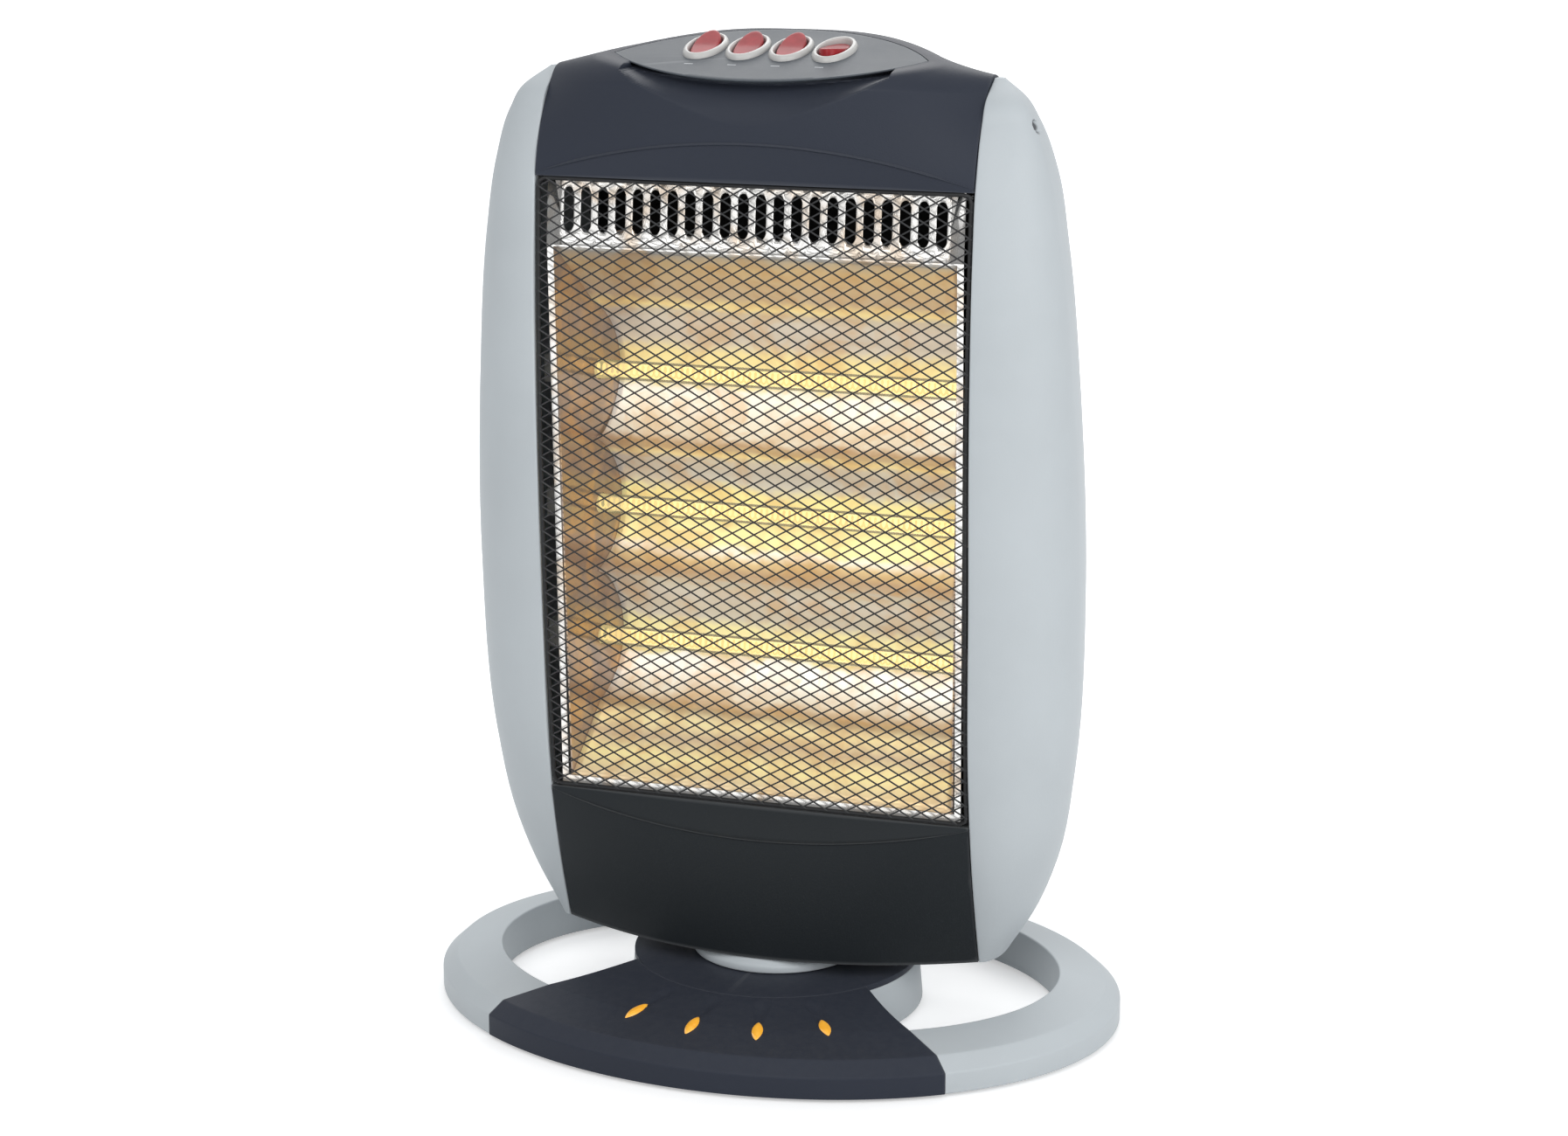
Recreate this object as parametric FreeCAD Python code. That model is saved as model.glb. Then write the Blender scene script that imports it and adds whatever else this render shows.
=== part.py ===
"""Quartz heater: three lamp tubes before a polished reflector, in a moulded head that swings on an oval base.

Millimetres, +Z up, front towards -Y, origin on the floor under the middle of the oval base.
"""
import FreeCAD, Part
import math
import os
from FreeCAD import Placement, Rotation, Vector

os.makedirs("parts", exist_ok=True)

# Fits
WALL = 2.5                  # moulded plastic wall
SHEET = 0.8                 # bent steel sheet
SEAM_GAP = 0.3              # gap between two mouldings, each side of a seam taking half
RUN_GAP = 0.4               # clearance round anything that turns or slides

# Flats that curves are drawn with, which keeps the facets few
FLATS = 16                  # round a small fitting
OVAL_FLATS = 20             # round a switch
HUB_FLATS = 36              # round the hub and its turntable
RING_FLATS = 60             # round the base
SHELL_FLATS = 8             # along each quarter of a side shell
ARC_FLATS = 5               # along a short arc, twice as many along a long one

# Base
BASE_LENGTH = 360.0         # oval ring along X
BASE_DEPTH = 270.8          # oval ring along Y
RING_WIDTH = 31.5
FOOT_HEIGHT = 2.0
FOOT_RADIUS = 9.0
FOOT_TURN = 57.0            # degrees from the front or back to each foot, outside the fan
RING_WALL_TOP = 12.7
RING_BEVEL_TOP = 19.5
RING_BEVEL_RUN = 7.5
RING_INNER_TOP = 24.2
HUB_TOP_RADIUS = 74.0
HUB_FLARE = 2.0             # the drum is wider at the floor
HUB_WALL = 3.0
HUB_LEDGE_WIDTH = 5.0
HUB_LEDGE_HEIGHT = 2.5
HUB_PLATE = 1.5
LID_THICKNESS = 3.0
LID_TOP = 28.0
FAN_HALF_ANGLE = 49.7       # dark front cover, either side of -Y
FAN_FLARE = 9.0             # its flanks spread by this much towards the hub
SPOKE_HALF_ANGLE = 28.0     # web at the back, either side of +Y
MARK_LENGTH = 17.0
MARK_WIDTH = 6.0
MARK_OUT = 3.6              # middle of a leaf mark outside the ring's inner edge
MARK_PITCH = 17.7           # degrees between the leaf marks
MARK_TURN = 4.5             # degrees that the row of marks is turned to +X
MARK_DEPTH = 2.0
MARK_PROUD = 0.7
INLET_RADIUS = 4.4
INLET_BORE = 3.2
INLET_LENGTH = 12.0

# Swivel
TUBE_RADIUS = 9.0
TUBE_BORE = 6.0
TUBE_FLANGE_RADIUS = 14.0
TUBE_FLANGE = 2.0
NECK_RADIUS = 24.0
COLLAR_RADIUS = 43.5
COLLAR_CROWN = 3.0          # the collar draws in by this much at its top
WASHER_OUTER = 38.0
WASHER_THICKNESS = 1.0
NUT_RADIUS = 15.0
NUT_HEIGHT = 6.0
MOTOR_SHARE = 0.59          # motor shaft behind the swivel axis, as a share of the hub's bore
MOTOR_RADIUS_SHARE = 0.317
MOTOR_HEIGHT = 11.0
MOTOR_SHAFT = 3.0
CRANK_END_GAP = 2.1         # crank disc to drum wall
CRANK_RIM = 3.0             # drive pin inside the disc's edge
CRANK_THICKNESS = 2.0
CRANK_PIN = 2.4
ARM_THICKNESS = 2.0
ARM_WIDTH = 16.0
ARM_END_GAP = 1.2           # arm tip to drum wall

# Tip-over switch
PLUNGER_WALL_GAP = 35.0     # plunger to the drum's bore, room for the switch
PLUNGER_Y = -18.0
PLUNGER_RADIUS = 2.5
PLUNGER_LENGTH = 16.0
PLUNGER_TRAVEL = 6.0
FINGER_LENGTH = 6.0
FINGER_THICKNESS = 2.0
GUIDE_WALL = 2.5
TIP_SWITCH_WIDTH = 11.0
TIP_SWITCH_DEPTH = 20.0
TIP_SWITCH_HEIGHT = 16.0

# Head outline
HEAD_BOTTOM = 35.6
HEAD_HEIGHT = 443.9         # to the top of the side shells
HEAD_WIDTH = 317.0
HEAD_DEPTH = 109.0
HEAD_BACK_SET = 9.5         # middle of the head lies behind the swivel axis
SEAM_SHARE = 0.3502         # straight seams between the dark middle and the silver shells, share of the width
CROWN_RISE = 17.5           # middle of the top above the shells
PARTING_Y = 34.0            # rear cover meets the front mouldings here
FLOOR_THICKNESS = 3.0
BOTTOM_BULGE = 30.0         # lower panel stands this far before its corners
PANEL_LIP = 1.5             # upright lip of a front panel next to the guard
KNEE_DROP = 6.5             # shoulder of the upper panel's ends below the head's top
CREST_BACK = 7.5            # highest point of the upper panel's ends before the head's middle
BACK_DROP = 26.5            # fall of the top from there to the parting
TOP_FLATNESS = 3.2          # power of the top's fall from the middle to the seams
UPPER_CREASE = 19.5         # height of the upper panel's chamfer in the middle
UPPER_SWELL = 0.6
UPPER_SWELL_RISE = 33.0
BROW_RUN = 1.0
BROW_DROP = 3.0
CROWN_BEND_RUN = 28.0
CROWN_BEND_DROP = 3.5
CROWN_WALL = 2.2            # walls across the steep crown, in level measure
LOWER_CREASE = 14.0         # height of the lower panel's chamfer in the middle
LOWER_SWELL = 4.5
LOWER_MID_SWELL = 4.0
LOWER_MID_DROP = 5.0
LOWER_BACK_Y = -4.0
REAR_FULLNESS = 5.0         # rear cover's middle behind its seams

# Guard
GUARD_BOTTOM = 114.5
GUARD_TOP = 429.0
GUARD_BOW = 7.3             # the guard's sagitta in side view
GUARD_BENDS = 3             # straight lengths that make up the bow
MESH_PITCH = 13.7           # diamonds across
MESH_RISE = 8.0             # diamonds up
WIRE = 0.9
GUARD_BAR = 2.2
GUARD_ROD_INSET = 5.0       # edge rods inside the seams
CHEEK_DEPTH = 9.0

# Reflector and lamps
MOUTH_INSET = 8.2           # reflector mouth inside the seams
OPENING_TOP = 395.0
MOUTH_TOP_Y = -38.0
MOUTH_BOTTOM_Y = -29.5
FRAME_BORDER = 5.0
FLARE_DRAW = 12.8           # the reflector is narrower at the back on each side
REFLECTOR_BACK_Y = 19.0
SHEET_BACK_Y = 30.0         # rear edge of the end plates, where the heat shield lies
LAMP_PITCH = 69.7
LAMP_MIDDLE_Z = 257.0
LAMP_Y = 0.0
LAMP_RADIUS = 5.0
LAMP_GLASS = 1.0
LAMP_OVERHANG = 1.2         # glass beyond the reflector mouth
LAMP_SEAL = 8.0
FILAMENT_RADIUS = 0.9
TROUGH_DEPTH = 22.0
RIDGE_Y = -4.0
CAP_HALF = 7.0              # square ceramic socket
CAP_LENGTH = 24.0
CAP_BORE_DEPTH = 6.0
CAP_FLANGE_HALF = 9.5
CAP_FLANGE = 2.5
RAIL_INSET = 3.0            # lamp rail inside the seams
RAIL_WIDTH = 26.0
VENT_SLOTS = 22
VENT_END = 11.7             # plain sheet beyond the last slot
VENT_SLOT_WIDTH = 4.5
VENT_SLOT_HEIGHT = 20.3
SHEET_INSET = 5.0           # sheets end inside the seams
VENT_TOP_Y = -35.8

# Controls
DECK_FRONT_Y = -48.0        # front edge of the sloping control panel
DECK_FRONT_Z = 479.0
DECK_SLOPE = 12.38          # degrees, rising to the back
DECK_THICKNESS = 3.2
DECK_TIP_SHARE = 0.721      # tips of the lens-shaped panel, share of the seams' half width
DECK_TIP_Y = -11.5
DECK_BACK_Y = 33.4
SCOOP_DEPTH = 4.5           # hollow under the panel's front lip
SCOOP_HEIGHT = 17.0
SWITCH_COUNT = 4
SWITCH_PITCH = 22.0
SWITCH_ROW_X = -3.1
SWITCH_UP_SLOPE = 48.3      # switch row above the panel's front edge
BEZEL_HALF_WIDTH = 10.3
BEZEL_HALF_LENGTH = 18.5
BEZEL_HEIGHT = 2.6
WELL_HALF_WIDTH = 7.5
WELL_HALF_LENGTH = 15.2
WELL_DEPTH = 6.0
ROCKER_GAP = 0.9
ROCKER_TILT = 12.0
ROCKER_RISE = 5.0
ROCKER_WAIST = 3.0
ROCKER_KEEL = 2.5
ROCKER_END = 0.8            # lower edge of the rocker's ends above its pivot
SWITCH_WALL = 1.1
SWITCH_BODY_DEPTH = 18.0

# Rear cover and inner fittings
VENT_ROW_PITCH = 12.0
VENT_ROW_HEIGHT = 5.0
VENT_COLUMN_SHARE = 0.8     # pitch of the two vent columns, share of the seams' half width
VENT_COLUMN_GAP = 12.0
UPPER_VENT_Z = 330.0
UPPER_VENT_ROWS = 6
LOWER_VENT_Z = 80.0
LOWER_VENT_ROWS = 4
CUTOUT_RADIUS = 8.0
CUTOUT_HEIGHT = 7.0
SIDE_SHARE = 0.54           # cut-out and terminals off the middle, share of the seams' half width
CUTOUT_CAP = 0.7            # cap of the cut-out, share of its radius
CUTOUT_Z = 372.0
TERMINAL_LENGTH = 40.0
TERMINAL_DEPTH = 16.0
TERMINAL_HEIGHT = 14.0
TERMINAL_POLES = 4
TERMINAL_BORE = 0.3         # screw hole, share of the pole pitch
SHELL_SCREW_Z = 458.0
SHELL_SCREW_Y = -15.0
SHELL_SCREW_RADIUS = 2.6
SHELL_SCREW_LENGTH = 10.0

# Places that follow from the sizes above
HALF_LENGTH = BASE_LENGTH / 2
HALF_DEPTH = BASE_DEPTH / 2
LID_BOTTOM = LID_TOP - LID_THICKNESS
HUB_BORE = HUB_TOP_RADIUS - HUB_WALL
MARK_RADIUS = HALF_DEPTH - RING_WIDTH + MARK_OUT
MOTOR_OFFSET = MOTOR_SHARE * HUB_BORE
MOTOR_RADIUS = MOTOR_RADIUS_SHARE * HUB_BORE
CRANK_RADIUS = HUB_BORE - MOTOR_OFFSET - CRANK_END_GAP
CRANK_THROW = CRANK_RADIUS - CRANK_RIM
PLUNGER_X = PLUNGER_WALL_GAP - HUB_BORE
PLATE_TOP = FOOT_HEIGHT + HUB_PLATE
COLLAR_BOTTOM = LID_TOP + RUN_GAP
ARM_TOP = LID_BOTTOM - RUN_GAP - WASHER_THICKNESS
ARM_BOTTOM = ARM_TOP - ARM_THICKNESS
FLOOR_BOTTOM = HEAD_BOTTOM - SEAM_GAP
FLOOR_TOP = FLOOR_BOTTOM + FLOOR_THICKNESS
HEAD_TOP = HEAD_BOTTOM + HEAD_HEIGHT
CREST_Z = HEAD_TOP + CROWN_RISE
SEAM_X = SEAM_SHARE * HEAD_WIDTH
PANEL_HALF = SEAM_X - SEAM_GAP / 2
GUARD_ROD_X = SEAM_X - GUARD_ROD_INSET
OPENING_HALF = SEAM_X - MOUTH_INSET
VENT_HALF_WIDTH = SEAM_X - SHEET_INSET
REFLECTOR_BACK_HALF = OPENING_HALF - FLARE_DRAW
LAMP_HALF_LENGTH = OPENING_HALF + LAMP_OVERHANG
RAIL_X = SEAM_X - RAIL_INSET
VENT_PITCH = 2 * (SEAM_X - VENT_END) / VENT_SLOTS
DECK_HALF_WIDTH = DECK_TIP_SHARE * SEAM_X
VENT_COLUMN_PITCH = VENT_COLUMN_SHARE * SEAM_X
VENT_ROW_LENGTH = VENT_COLUMN_PITCH - VENT_COLUMN_GAP
SHELL_INNER_X = SEAM_X + SEAM_GAP / 2
DECK_PLACE = Placement(Vector(0, DECK_FRONT_Y, DECK_FRONT_Z), Rotation(Vector(1, 0, 0), DECK_SLOPE))
LAMP_HEIGHTS = [LAMP_MIDDLE_Z + LAMP_PITCH * step for step in (1, 0, -1)]
SWITCH_XS = [SWITCH_ROW_X + SWITCH_PITCH * (i - (SWITCH_COUNT - 1) / 2) for i in range(SWITCH_COUNT)]

# Sections across the head, as shares of the seams' half width
CROSS_STEPS = (-1, -0.85, -0.65, -0.4, 0, 0.4, 0.65, 0.85, 1)

# Head outline as shares of its height, depth and half width, from the bottom to the top of a shell
OUTLINE = [
    # height, front seam, rear seam, half width, widest line between the seams
    (0.000, -0.188, 0.289, 0.759, 0.447),
    (0.050, -0.259, 0.328, 0.844, 0.468),
    (0.120, -0.346, 0.370, 0.921, 0.482),
    (0.220, -0.427, 0.411, 0.970, 0.460),
    (0.330, -0.455, 0.450, 0.991, 0.423),
    (0.440, -0.476, 0.477, 0.997, 0.387),
    (0.550, -0.494, 0.487, 0.988, 0.363),
    (0.660, -0.508, 0.477, 0.970, 0.349),
    (0.820, -0.489, 0.405, 0.929, 0.325),
    (0.900, -0.447, 0.348, 0.891, 0.298),
    (0.955, -0.364, 0.176, 0.842, 0.260),
    (0.980, -0.298, 0.069, 0.801, 0.230),
    (1.000, -0.151, -0.087, 0.732, 0.200),
]


def save(name, shape):
    """One STEP file per named piece."""
    shape.exportStep("parts/" + name + ".step")


def box(x0, x1, y0, y1, z0, z1):
    return Part.makeBox(x1 - x0, y1 - y0, z1 - z0, Vector(x0, y0, z0))


def flat_face(points):
    return Part.Face(Part.makePolygon(list(points) + [points[0]]))


def solid_of(faces):
    """Solid sewn from flat faces, its level faces merged."""
    shell = Part.makeShell(faces)
    shell.sewShape()
    solid = Part.makeSolid(shell)
    if solid.Volume < 0:
        solid.reverse()
    return solid.removeSplitter()


def prism(points, along):
    """Straight extrusion of a flat polygon."""
    return flat_face(points).extrude(along)


def skin(levels):
    """Solid through closed outlines of as many points each, skinned with triangles."""
    faces = [flat_face(levels[0]), flat_face(levels[-1])]
    for low, high in zip(levels, levels[1:]):
        for i in range(len(low)):
            faces += [flat_face((low[i - 1], low[i], high[i])), flat_face((low[i - 1], high[i], high[i - 1]))]
    return solid_of(faces)


def oval(a, b, z, sides):
    """Corners of a level oval."""
    turns = [2 * math.pi * side / sides for side in range(sides)]
    return [Vector(a * math.cos(turn), b * math.sin(turn), z) for turn in turns]


def arc_points(start, middle, end, sides):
    """Corners along the arc through three points, without the last."""
    return Part.Arc(start, middle, end).toShape().discretize(sides + 1)[:-1]


def peg(half_width, half_length, start, along, sides=FLATS):
    """Round or oval fitting from a point along a line."""
    lay = Rotation(Vector(0, 0, 1), along)
    return prism([start + lay.multVec(point) for point in oval(half_width, half_length, 0, sides)], along)


def rod(radius, z0, z1, x=0.0, y=0.0, sides=FLATS):
    return peg(radius, radius, Vector(x, y, z0), Vector(0, 0, z1 - z0), sides)


def rod_x(radius, x0, x1, y, z):
    return peg(radius, radius, Vector(x0, y, z), Vector(x1 - x0, 0, 0))


def pipe(outer, inner, z0, z1, x=0.0, y=0.0, sides=FLATS):
    return rod(outer, z0, z1, x, y, sides).cut(rod(inner, z0 - 1, z1 + 1, x, y, sides))


def cone(r0, z0, r1, z1):
    """Tapered drum about the swivel axis."""
    return skin([oval(r0, r0, z0, HUB_FLATS), oval(r1, r1, z1, HUB_FLATS)])


def turned(profile):
    """Ring about the swivel axis from a profile of radii and heights."""
    corners = oval(1, 1, 0, HUB_FLATS)
    sections = [[Vector(r * corner.x, r * corner.y, z) for r, z in profile] for corner in corners]
    faces = []
    for now, then in zip(sections, sections[1:] + sections[:1]):
        faces += [flat_face((now[i - 1], now[i], then[i], then[i - 1])) for i in range(len(profile))]
    return solid_of(faces)


def oval_block(a0, b0, z0, a1, b1, z1):
    """Block between two level ovals of the base."""
    return skin([oval(a0, b0, z0, RING_FLATS), oval(a1, b1, z1, RING_FLATS)])


def slot_block(width, height, depth):
    """Slot cutter, centred, with its corners cut off and its depth along Y."""
    cut = min(width, height) / 3
    corners = []
    for sx, sz in ((1, 1), (-1, 1), (-1, -1), (1, -1)):
        pair = [(sx * width / 2, sz * (height / 2 - cut)), (sx * (width / 2 - cut), sz * height / 2)]
        corners += pair if sx == sz else pair[::-1]
    return prism([Vector(x, -depth / 2, z) for x, z in reversed(corners)], Vector(0, depth, 0))


def moved(shape, x=0.0, y=0.0, z=0.0):
    copy = shape.copy()
    copy.translate(Vector(x, y, z))
    return copy


def mirrored(shape):
    return shape.mirror(Vector(0, 0, 0), Vector(1, 0, 0))


def seam_curve(column):
    """Seam in side view at SEAM_X: front for column 1, rear for column 2."""
    points = [Vector(0, HEAD_BACK_SET + row[column] * HEAD_DEPTH, HEAD_BOTTOM + row[0] * HEAD_HEIGHT)
              for row in OUTLINE]
    curve = Part.BSplineCurve()
    curve.interpolate(points)
    return curve


def seam_y(column, z):
    """Y of a seam at height z, found by halving."""
    curve = seam_curve(column)
    low, high = curve.FirstParameter, curve.LastParameter
    for _ in range(40):
        middle = (low + high) / 2
        if curve.value(middle).z < z:
            low = middle
        else:
            high = middle
    return curve.value((low + high) / 2).y


def sector(half_angle, side, inset=0.0, flare=0.0):
    """Upright block about -Y (side -1) or +Y (side +1).

    Its flanks are radial at the ring, moved in by the inset, and spread by the flare towards the hub.
    """
    turn = math.radians(half_angle)
    along = Vector(math.sin(turn), side * math.cos(turn), 0)
    across = Vector(math.cos(turn), -side * math.sin(turn), 0)
    a, b = HALF_LENGTH - RING_WIDTH, HALF_DEPTH - RING_WIDTH
    ring = 1 / math.hypot(along.x / a, along.y / b)
    root = HUB_BORE
    stations = [(BASE_LENGTH, 0), (ring, 0), ((ring + root) / 2, flare / 4), (root, flare)]
    far, bend, middle, near = [along * reach + across * (offset - inset) for reach, offset in stations]
    inner = Part.Arc(bend, middle, near).toShape() if flare else Part.makeLine(bend, near)
    edges = [Part.makeLine(far, bend), inner]
    edges += [mirrored(edge) for edge in edges]
    edges += [Part.makeLine(point, Vector(-point.x, point.y, 0)) for point in (near, far)]
    outline = Part.Wire(Part.__sortEdges__(edges))
    return Part.Face(outline).extrude(Vector(0, 0, BASE_DEPTH))


# Base: oval ring with its hub drum and rear web
def ring_block(inset):
    """Bevelled oval block of the ring's outside, drawn in by the inset."""
    a, b = HALF_LENGTH - inset, HALF_DEPTH - inset
    wall = oval_block(a, b, FOOT_HEIGHT, a, b, RING_WALL_TOP - inset)
    run = RING_BEVEL_RUN
    bevel = oval_block(a, b, RING_WALL_TOP - inset, a - run, b - run, RING_BEVEL_TOP - inset)
    inner_a, inner_b = HALF_LENGTH - RING_WIDTH, HALF_DEPTH - RING_WIDTH
    crown = oval_block(a - run, b - run, RING_BEVEL_TOP - inset, inner_a, inner_b, RING_INNER_TOP - inset)
    return wall.fuse([bevel, crown]).removeSplitter()


def deck_block(inset):
    """Block inside the ring whose top climbs from the ring to the hub."""
    a, b = HALF_LENGTH - RING_WIDTH, HALF_DEPTH - RING_WIDTH
    low = oval_block(a, b, FOOT_HEIGHT, a, b, RING_INNER_TOP - inset)
    climb = oval_block(a, b, RING_INNER_TOP - inset, HUB_TOP_RADIUS, HUB_TOP_RADIUS, LID_TOP - inset)
    return low.fuse(climb).removeSplitter()


def hub_drum():
    return cone(HUB_TOP_RADIUS + HUB_FLARE, FOOT_HEIGHT, HUB_TOP_RADIUS, LID_BOTTOM)


def foot_places():
    turn = math.radians(FOOT_TURN)
    a, b = HALF_LENGTH - RING_WIDTH / 2, HALF_DEPTH - RING_WIDTH / 2
    reach = 1 / math.hypot(math.sin(turn) / a, math.cos(turn) / b)
    x, y = reach * math.sin(turn), reach * math.cos(turn)
    return {"front_left": (-x, -y), "front_right": (x, -y), "rear_left": (-x, y), "rear_right": (x, y)}


def inlet_axis(radius, start, length):
    """Level rod through the back of the ring, towards -Y."""
    z = (FOOT_HEIGHT + RING_WALL_TOP) / 2
    return peg(radius, radius, Vector(0, start, z), Vector(0, -length, 0))


def base_ring():
    hole = oval_block(HALF_LENGTH - RING_WIDTH, HALF_DEPTH - RING_WIDTH, FOOT_HEIGHT - 1,
                      HALF_LENGTH - RING_WIDTH, HALF_DEPTH - RING_WIDTH, LID_TOP + 1)
    ring = ring_block(0).cut(hole).cut(sector(FAN_HALF_ANGLE, -1, -SEAM_GAP / 2))
    web = deck_block(0).common(sector(SPOKE_HALF_ANGLE, 1)).cut(box(-HALF_LENGTH, HALF_LENGTH, 0, HALF_DEPTH,
                                                                   LID_BOTTOM, LID_TOP + 1))
    ring = ring.fuse([hub_drum(), web])
    ring = ring.cut(rod(HUB_BORE, FOOT_HEIGHT - 1, LID_TOP + 1, sides=HUB_FLATS)).removeSplitter()
    ledge = pipe(HUB_BORE, HUB_BORE - HUB_LEDGE_WIDTH, PLATE_TOP, PLATE_TOP + HUB_LEDGE_HEIGHT,
                 sides=HUB_FLATS)
    ring = ring.fuse(ledge)
    inlet = inlet_axis(INLET_RADIUS + SEAM_GAP / 2, HALF_DEPTH + 1, INLET_LENGTH + 1)
    return ring.cut(inlet).removeSplitter()


def leaf(grow, z0, z1, angle):
    """Leaf-shaped block between two arcs, lying along a radius."""
    half, side = MARK_LENGTH / 2 + grow, MARK_WIDTH / 2 + grow
    tips = (Vector(0, -MARK_RADIUS - half, z0), Vector(0, -MARK_RADIUS + half, z0))
    outline = arc_points(tips[0], Vector(side, -MARK_RADIUS, z0), tips[1], ARC_FLATS)
    outline += arc_points(tips[1], Vector(-side, -MARK_RADIUS, z0), tips[0], ARC_FLATS)
    block = prism(outline, Vector(0, 0, z1 - z0))
    block.rotate(Vector(0, 0, 0), Vector(0, 0, 1), angle)
    return block


def mark_angles():
    return [MARK_TURN + MARK_PITCH * step for step in (-1.5, -0.5, 0.5, 1.5)]


def base_front_cover():
    """Fan-shaped cover, hollow underneath, that carries on the ring's bevel."""
    fan = sector(FAN_HALF_ANGLE, -1, SEAM_GAP / 2, FAN_FLARE)
    cover = ring_block(0).fuse(deck_block(0)).removeSplitter().common(fan)
    hollow = ring_block(WALL).fuse(deck_block(WALL)).common(sector(FAN_HALF_ANGLE, -1, WALL, FAN_FLARE))
    hollow = hollow.fuse(moved(hollow, z=-WALL))
    drum_space = cone(HUB_TOP_RADIUS + HUB_FLARE + SEAM_GAP, FOOT_HEIGHT,
                      HUB_TOP_RADIUS + SEAM_GAP, LID_TOP + 1)
    cover = cover.cut(hollow).cut(drum_space)
    for angle in mark_angles():
        cover = cover.cut(leaf(SEAM_GAP / 2, RING_INNER_TOP - MARK_DEPTH, LID_TOP, angle))
    return cover


def amber_markers():
    z0, z1 = RING_INNER_TOP - MARK_DEPTH, RING_INNER_TOP + MARK_PROUD
    return Part.makeCompound([leaf(0, z0, z1, angle) for angle in mark_angles()])


def hub_lid():
    bevel = LID_THICKNESS / 4
    hole = NECK_RADIUS + RUN_GAP
    return turned([(hole, LID_BOTTOM), (HUB_TOP_RADIUS, LID_BOTTOM), (HUB_TOP_RADIUS, LID_TOP - bevel),
                   (HUB_TOP_RADIUS - bevel, LID_TOP), (hole, LID_TOP)])


def hub_bottom_plate():
    plate = rod(HUB_BORE - SEAM_GAP, FOOT_HEIGHT, PLATE_TOP, sides=HUB_FLATS)
    return plate.cut(rod(PLUNGER_RADIUS + RUN_GAP, 0, PLATE_TOP + 1, PLUNGER_X, PLUNGER_Y))


def rubber_foot(x, y):
    return rod(FOOT_RADIUS, 0, FOOT_HEIGHT, x, y)


def cord_inlet():
    bush = inlet_axis(INLET_RADIUS, HALF_DEPTH - WALL / 2, INLET_LENGTH - WALL)
    return bush.cut(inlet_axis(INLET_BORE, HALF_DEPTH + 1, INLET_LENGTH - WALL))


# Swivel and its drive
def pivot_tube():
    top = FLOOR_TOP + RUN_GAP + NUT_HEIGHT
    tube = rod(TUBE_RADIUS, PLATE_TOP, top).fuse(rod(TUBE_FLANGE_RADIUS, PLATE_TOP, PLATE_TOP + TUBE_FLANGE))
    return tube.cut(rod(TUBE_BORE, PLATE_TOP - 1, top + 1)).removeSplitter()


def pivot_nut():
    turns = [math.pi / 3 * side for side in range(6)]
    corners = [Vector(NUT_RADIUS * math.cos(t), NUT_RADIUS * math.sin(t), FLOOR_TOP + RUN_GAP) for t in turns]
    return prism(corners, Vector(0, 0, NUT_HEIGHT)).cut(rod(TUBE_RADIUS, 0, FLOOR_TOP + 2 * NUT_HEIGHT))


def thrust_washer():
    return pipe(WASHER_OUTER, NECK_RADIUS + RUN_GAP, LID_TOP, LID_TOP + WASHER_THICKNESS, sides=HUB_FLATS)


def swivel_collar():
    """Turntable under the head, hollowed for the washer, with a neck down through the lid."""
    bore, groove = TUBE_RADIUS + RUN_GAP, WASHER_OUTER + RUN_GAP
    groove_top = LID_TOP + WASHER_THICKNESS + RUN_GAP
    bend = (COLLAR_BOTTOM + FLOOR_BOTTOM) / 2
    return turned([(bore, ARM_TOP), (NECK_RADIUS, ARM_TOP), (NECK_RADIUS, groove_top), (groove, groove_top),
                   (groove, COLLAR_BOTTOM), (COLLAR_RADIUS, COLLAR_BOTTOM), (COLLAR_RADIUS, bend),
                   (COLLAR_RADIUS - COLLAR_CROWN, FLOOR_BOTTOM), (bore, FLOOR_BOTTOM)])


def oscillation_motor():
    top = PLATE_TOP + MOTOR_HEIGHT
    crank_top = ARM_BOTTOM - RUN_GAP - CRANK_THICKNESS
    body = rod(MOTOR_RADIUS, PLATE_TOP, top, 0, MOTOR_OFFSET)
    return body.fuse(rod(MOTOR_SHAFT, top, crank_top, 0, MOTOR_OFFSET)).removeSplitter()


def crank_disc():
    """Disc on the motor shaft with a drive pin that stops just under the slotted arm."""
    top = ARM_BOTTOM - RUN_GAP - CRANK_THICKNESS
    disc = rod(CRANK_RADIUS, top - CRANK_THICKNESS, top, 0, MOTOR_OFFSET)
    disc = disc.cut(rod(MOTOR_SHAFT + RUN_GAP / 2, 0, top + 1, 0, MOTOR_OFFSET))
    pin = rod(CRANK_PIN, top, ARM_BOTTOM - RUN_GAP, 0, MOTOR_OFFSET + CRANK_THROW)
    return disc.fuse(pin).removeSplitter()


def oscillation_arm():
    tip = HUB_BORE - ARM_END_GAP
    wide, end = ARM_WIDTH / 2, tip - ARM_WIDTH / 2
    arm = rod(NECK_RADIUS, ARM_BOTTOM, ARM_TOP, sides=HUB_FLATS)
    arm = arm.fuse(box(-wide, wide, 0, end, ARM_BOTTOM, ARM_TOP))
    arm = arm.fuse(rod(wide, ARM_BOTTOM, ARM_TOP, 0, end))
    half = CRANK_PIN + RUN_GAP
    slot_in, slot_out = MOTOR_OFFSET - CRANK_THROW, MOTOR_OFFSET + CRANK_THROW
    slot = box(-half, half, slot_in, slot_out, 0, LID_TOP)
    for y in (slot_in, slot_out):
        slot = slot.fuse(rod(half, 0, LID_TOP, 0, y))
    return arm.cut(slot).cut(rod(TUBE_RADIUS + RUN_GAP, 0, LID_TOP)).removeSplitter()


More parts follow.
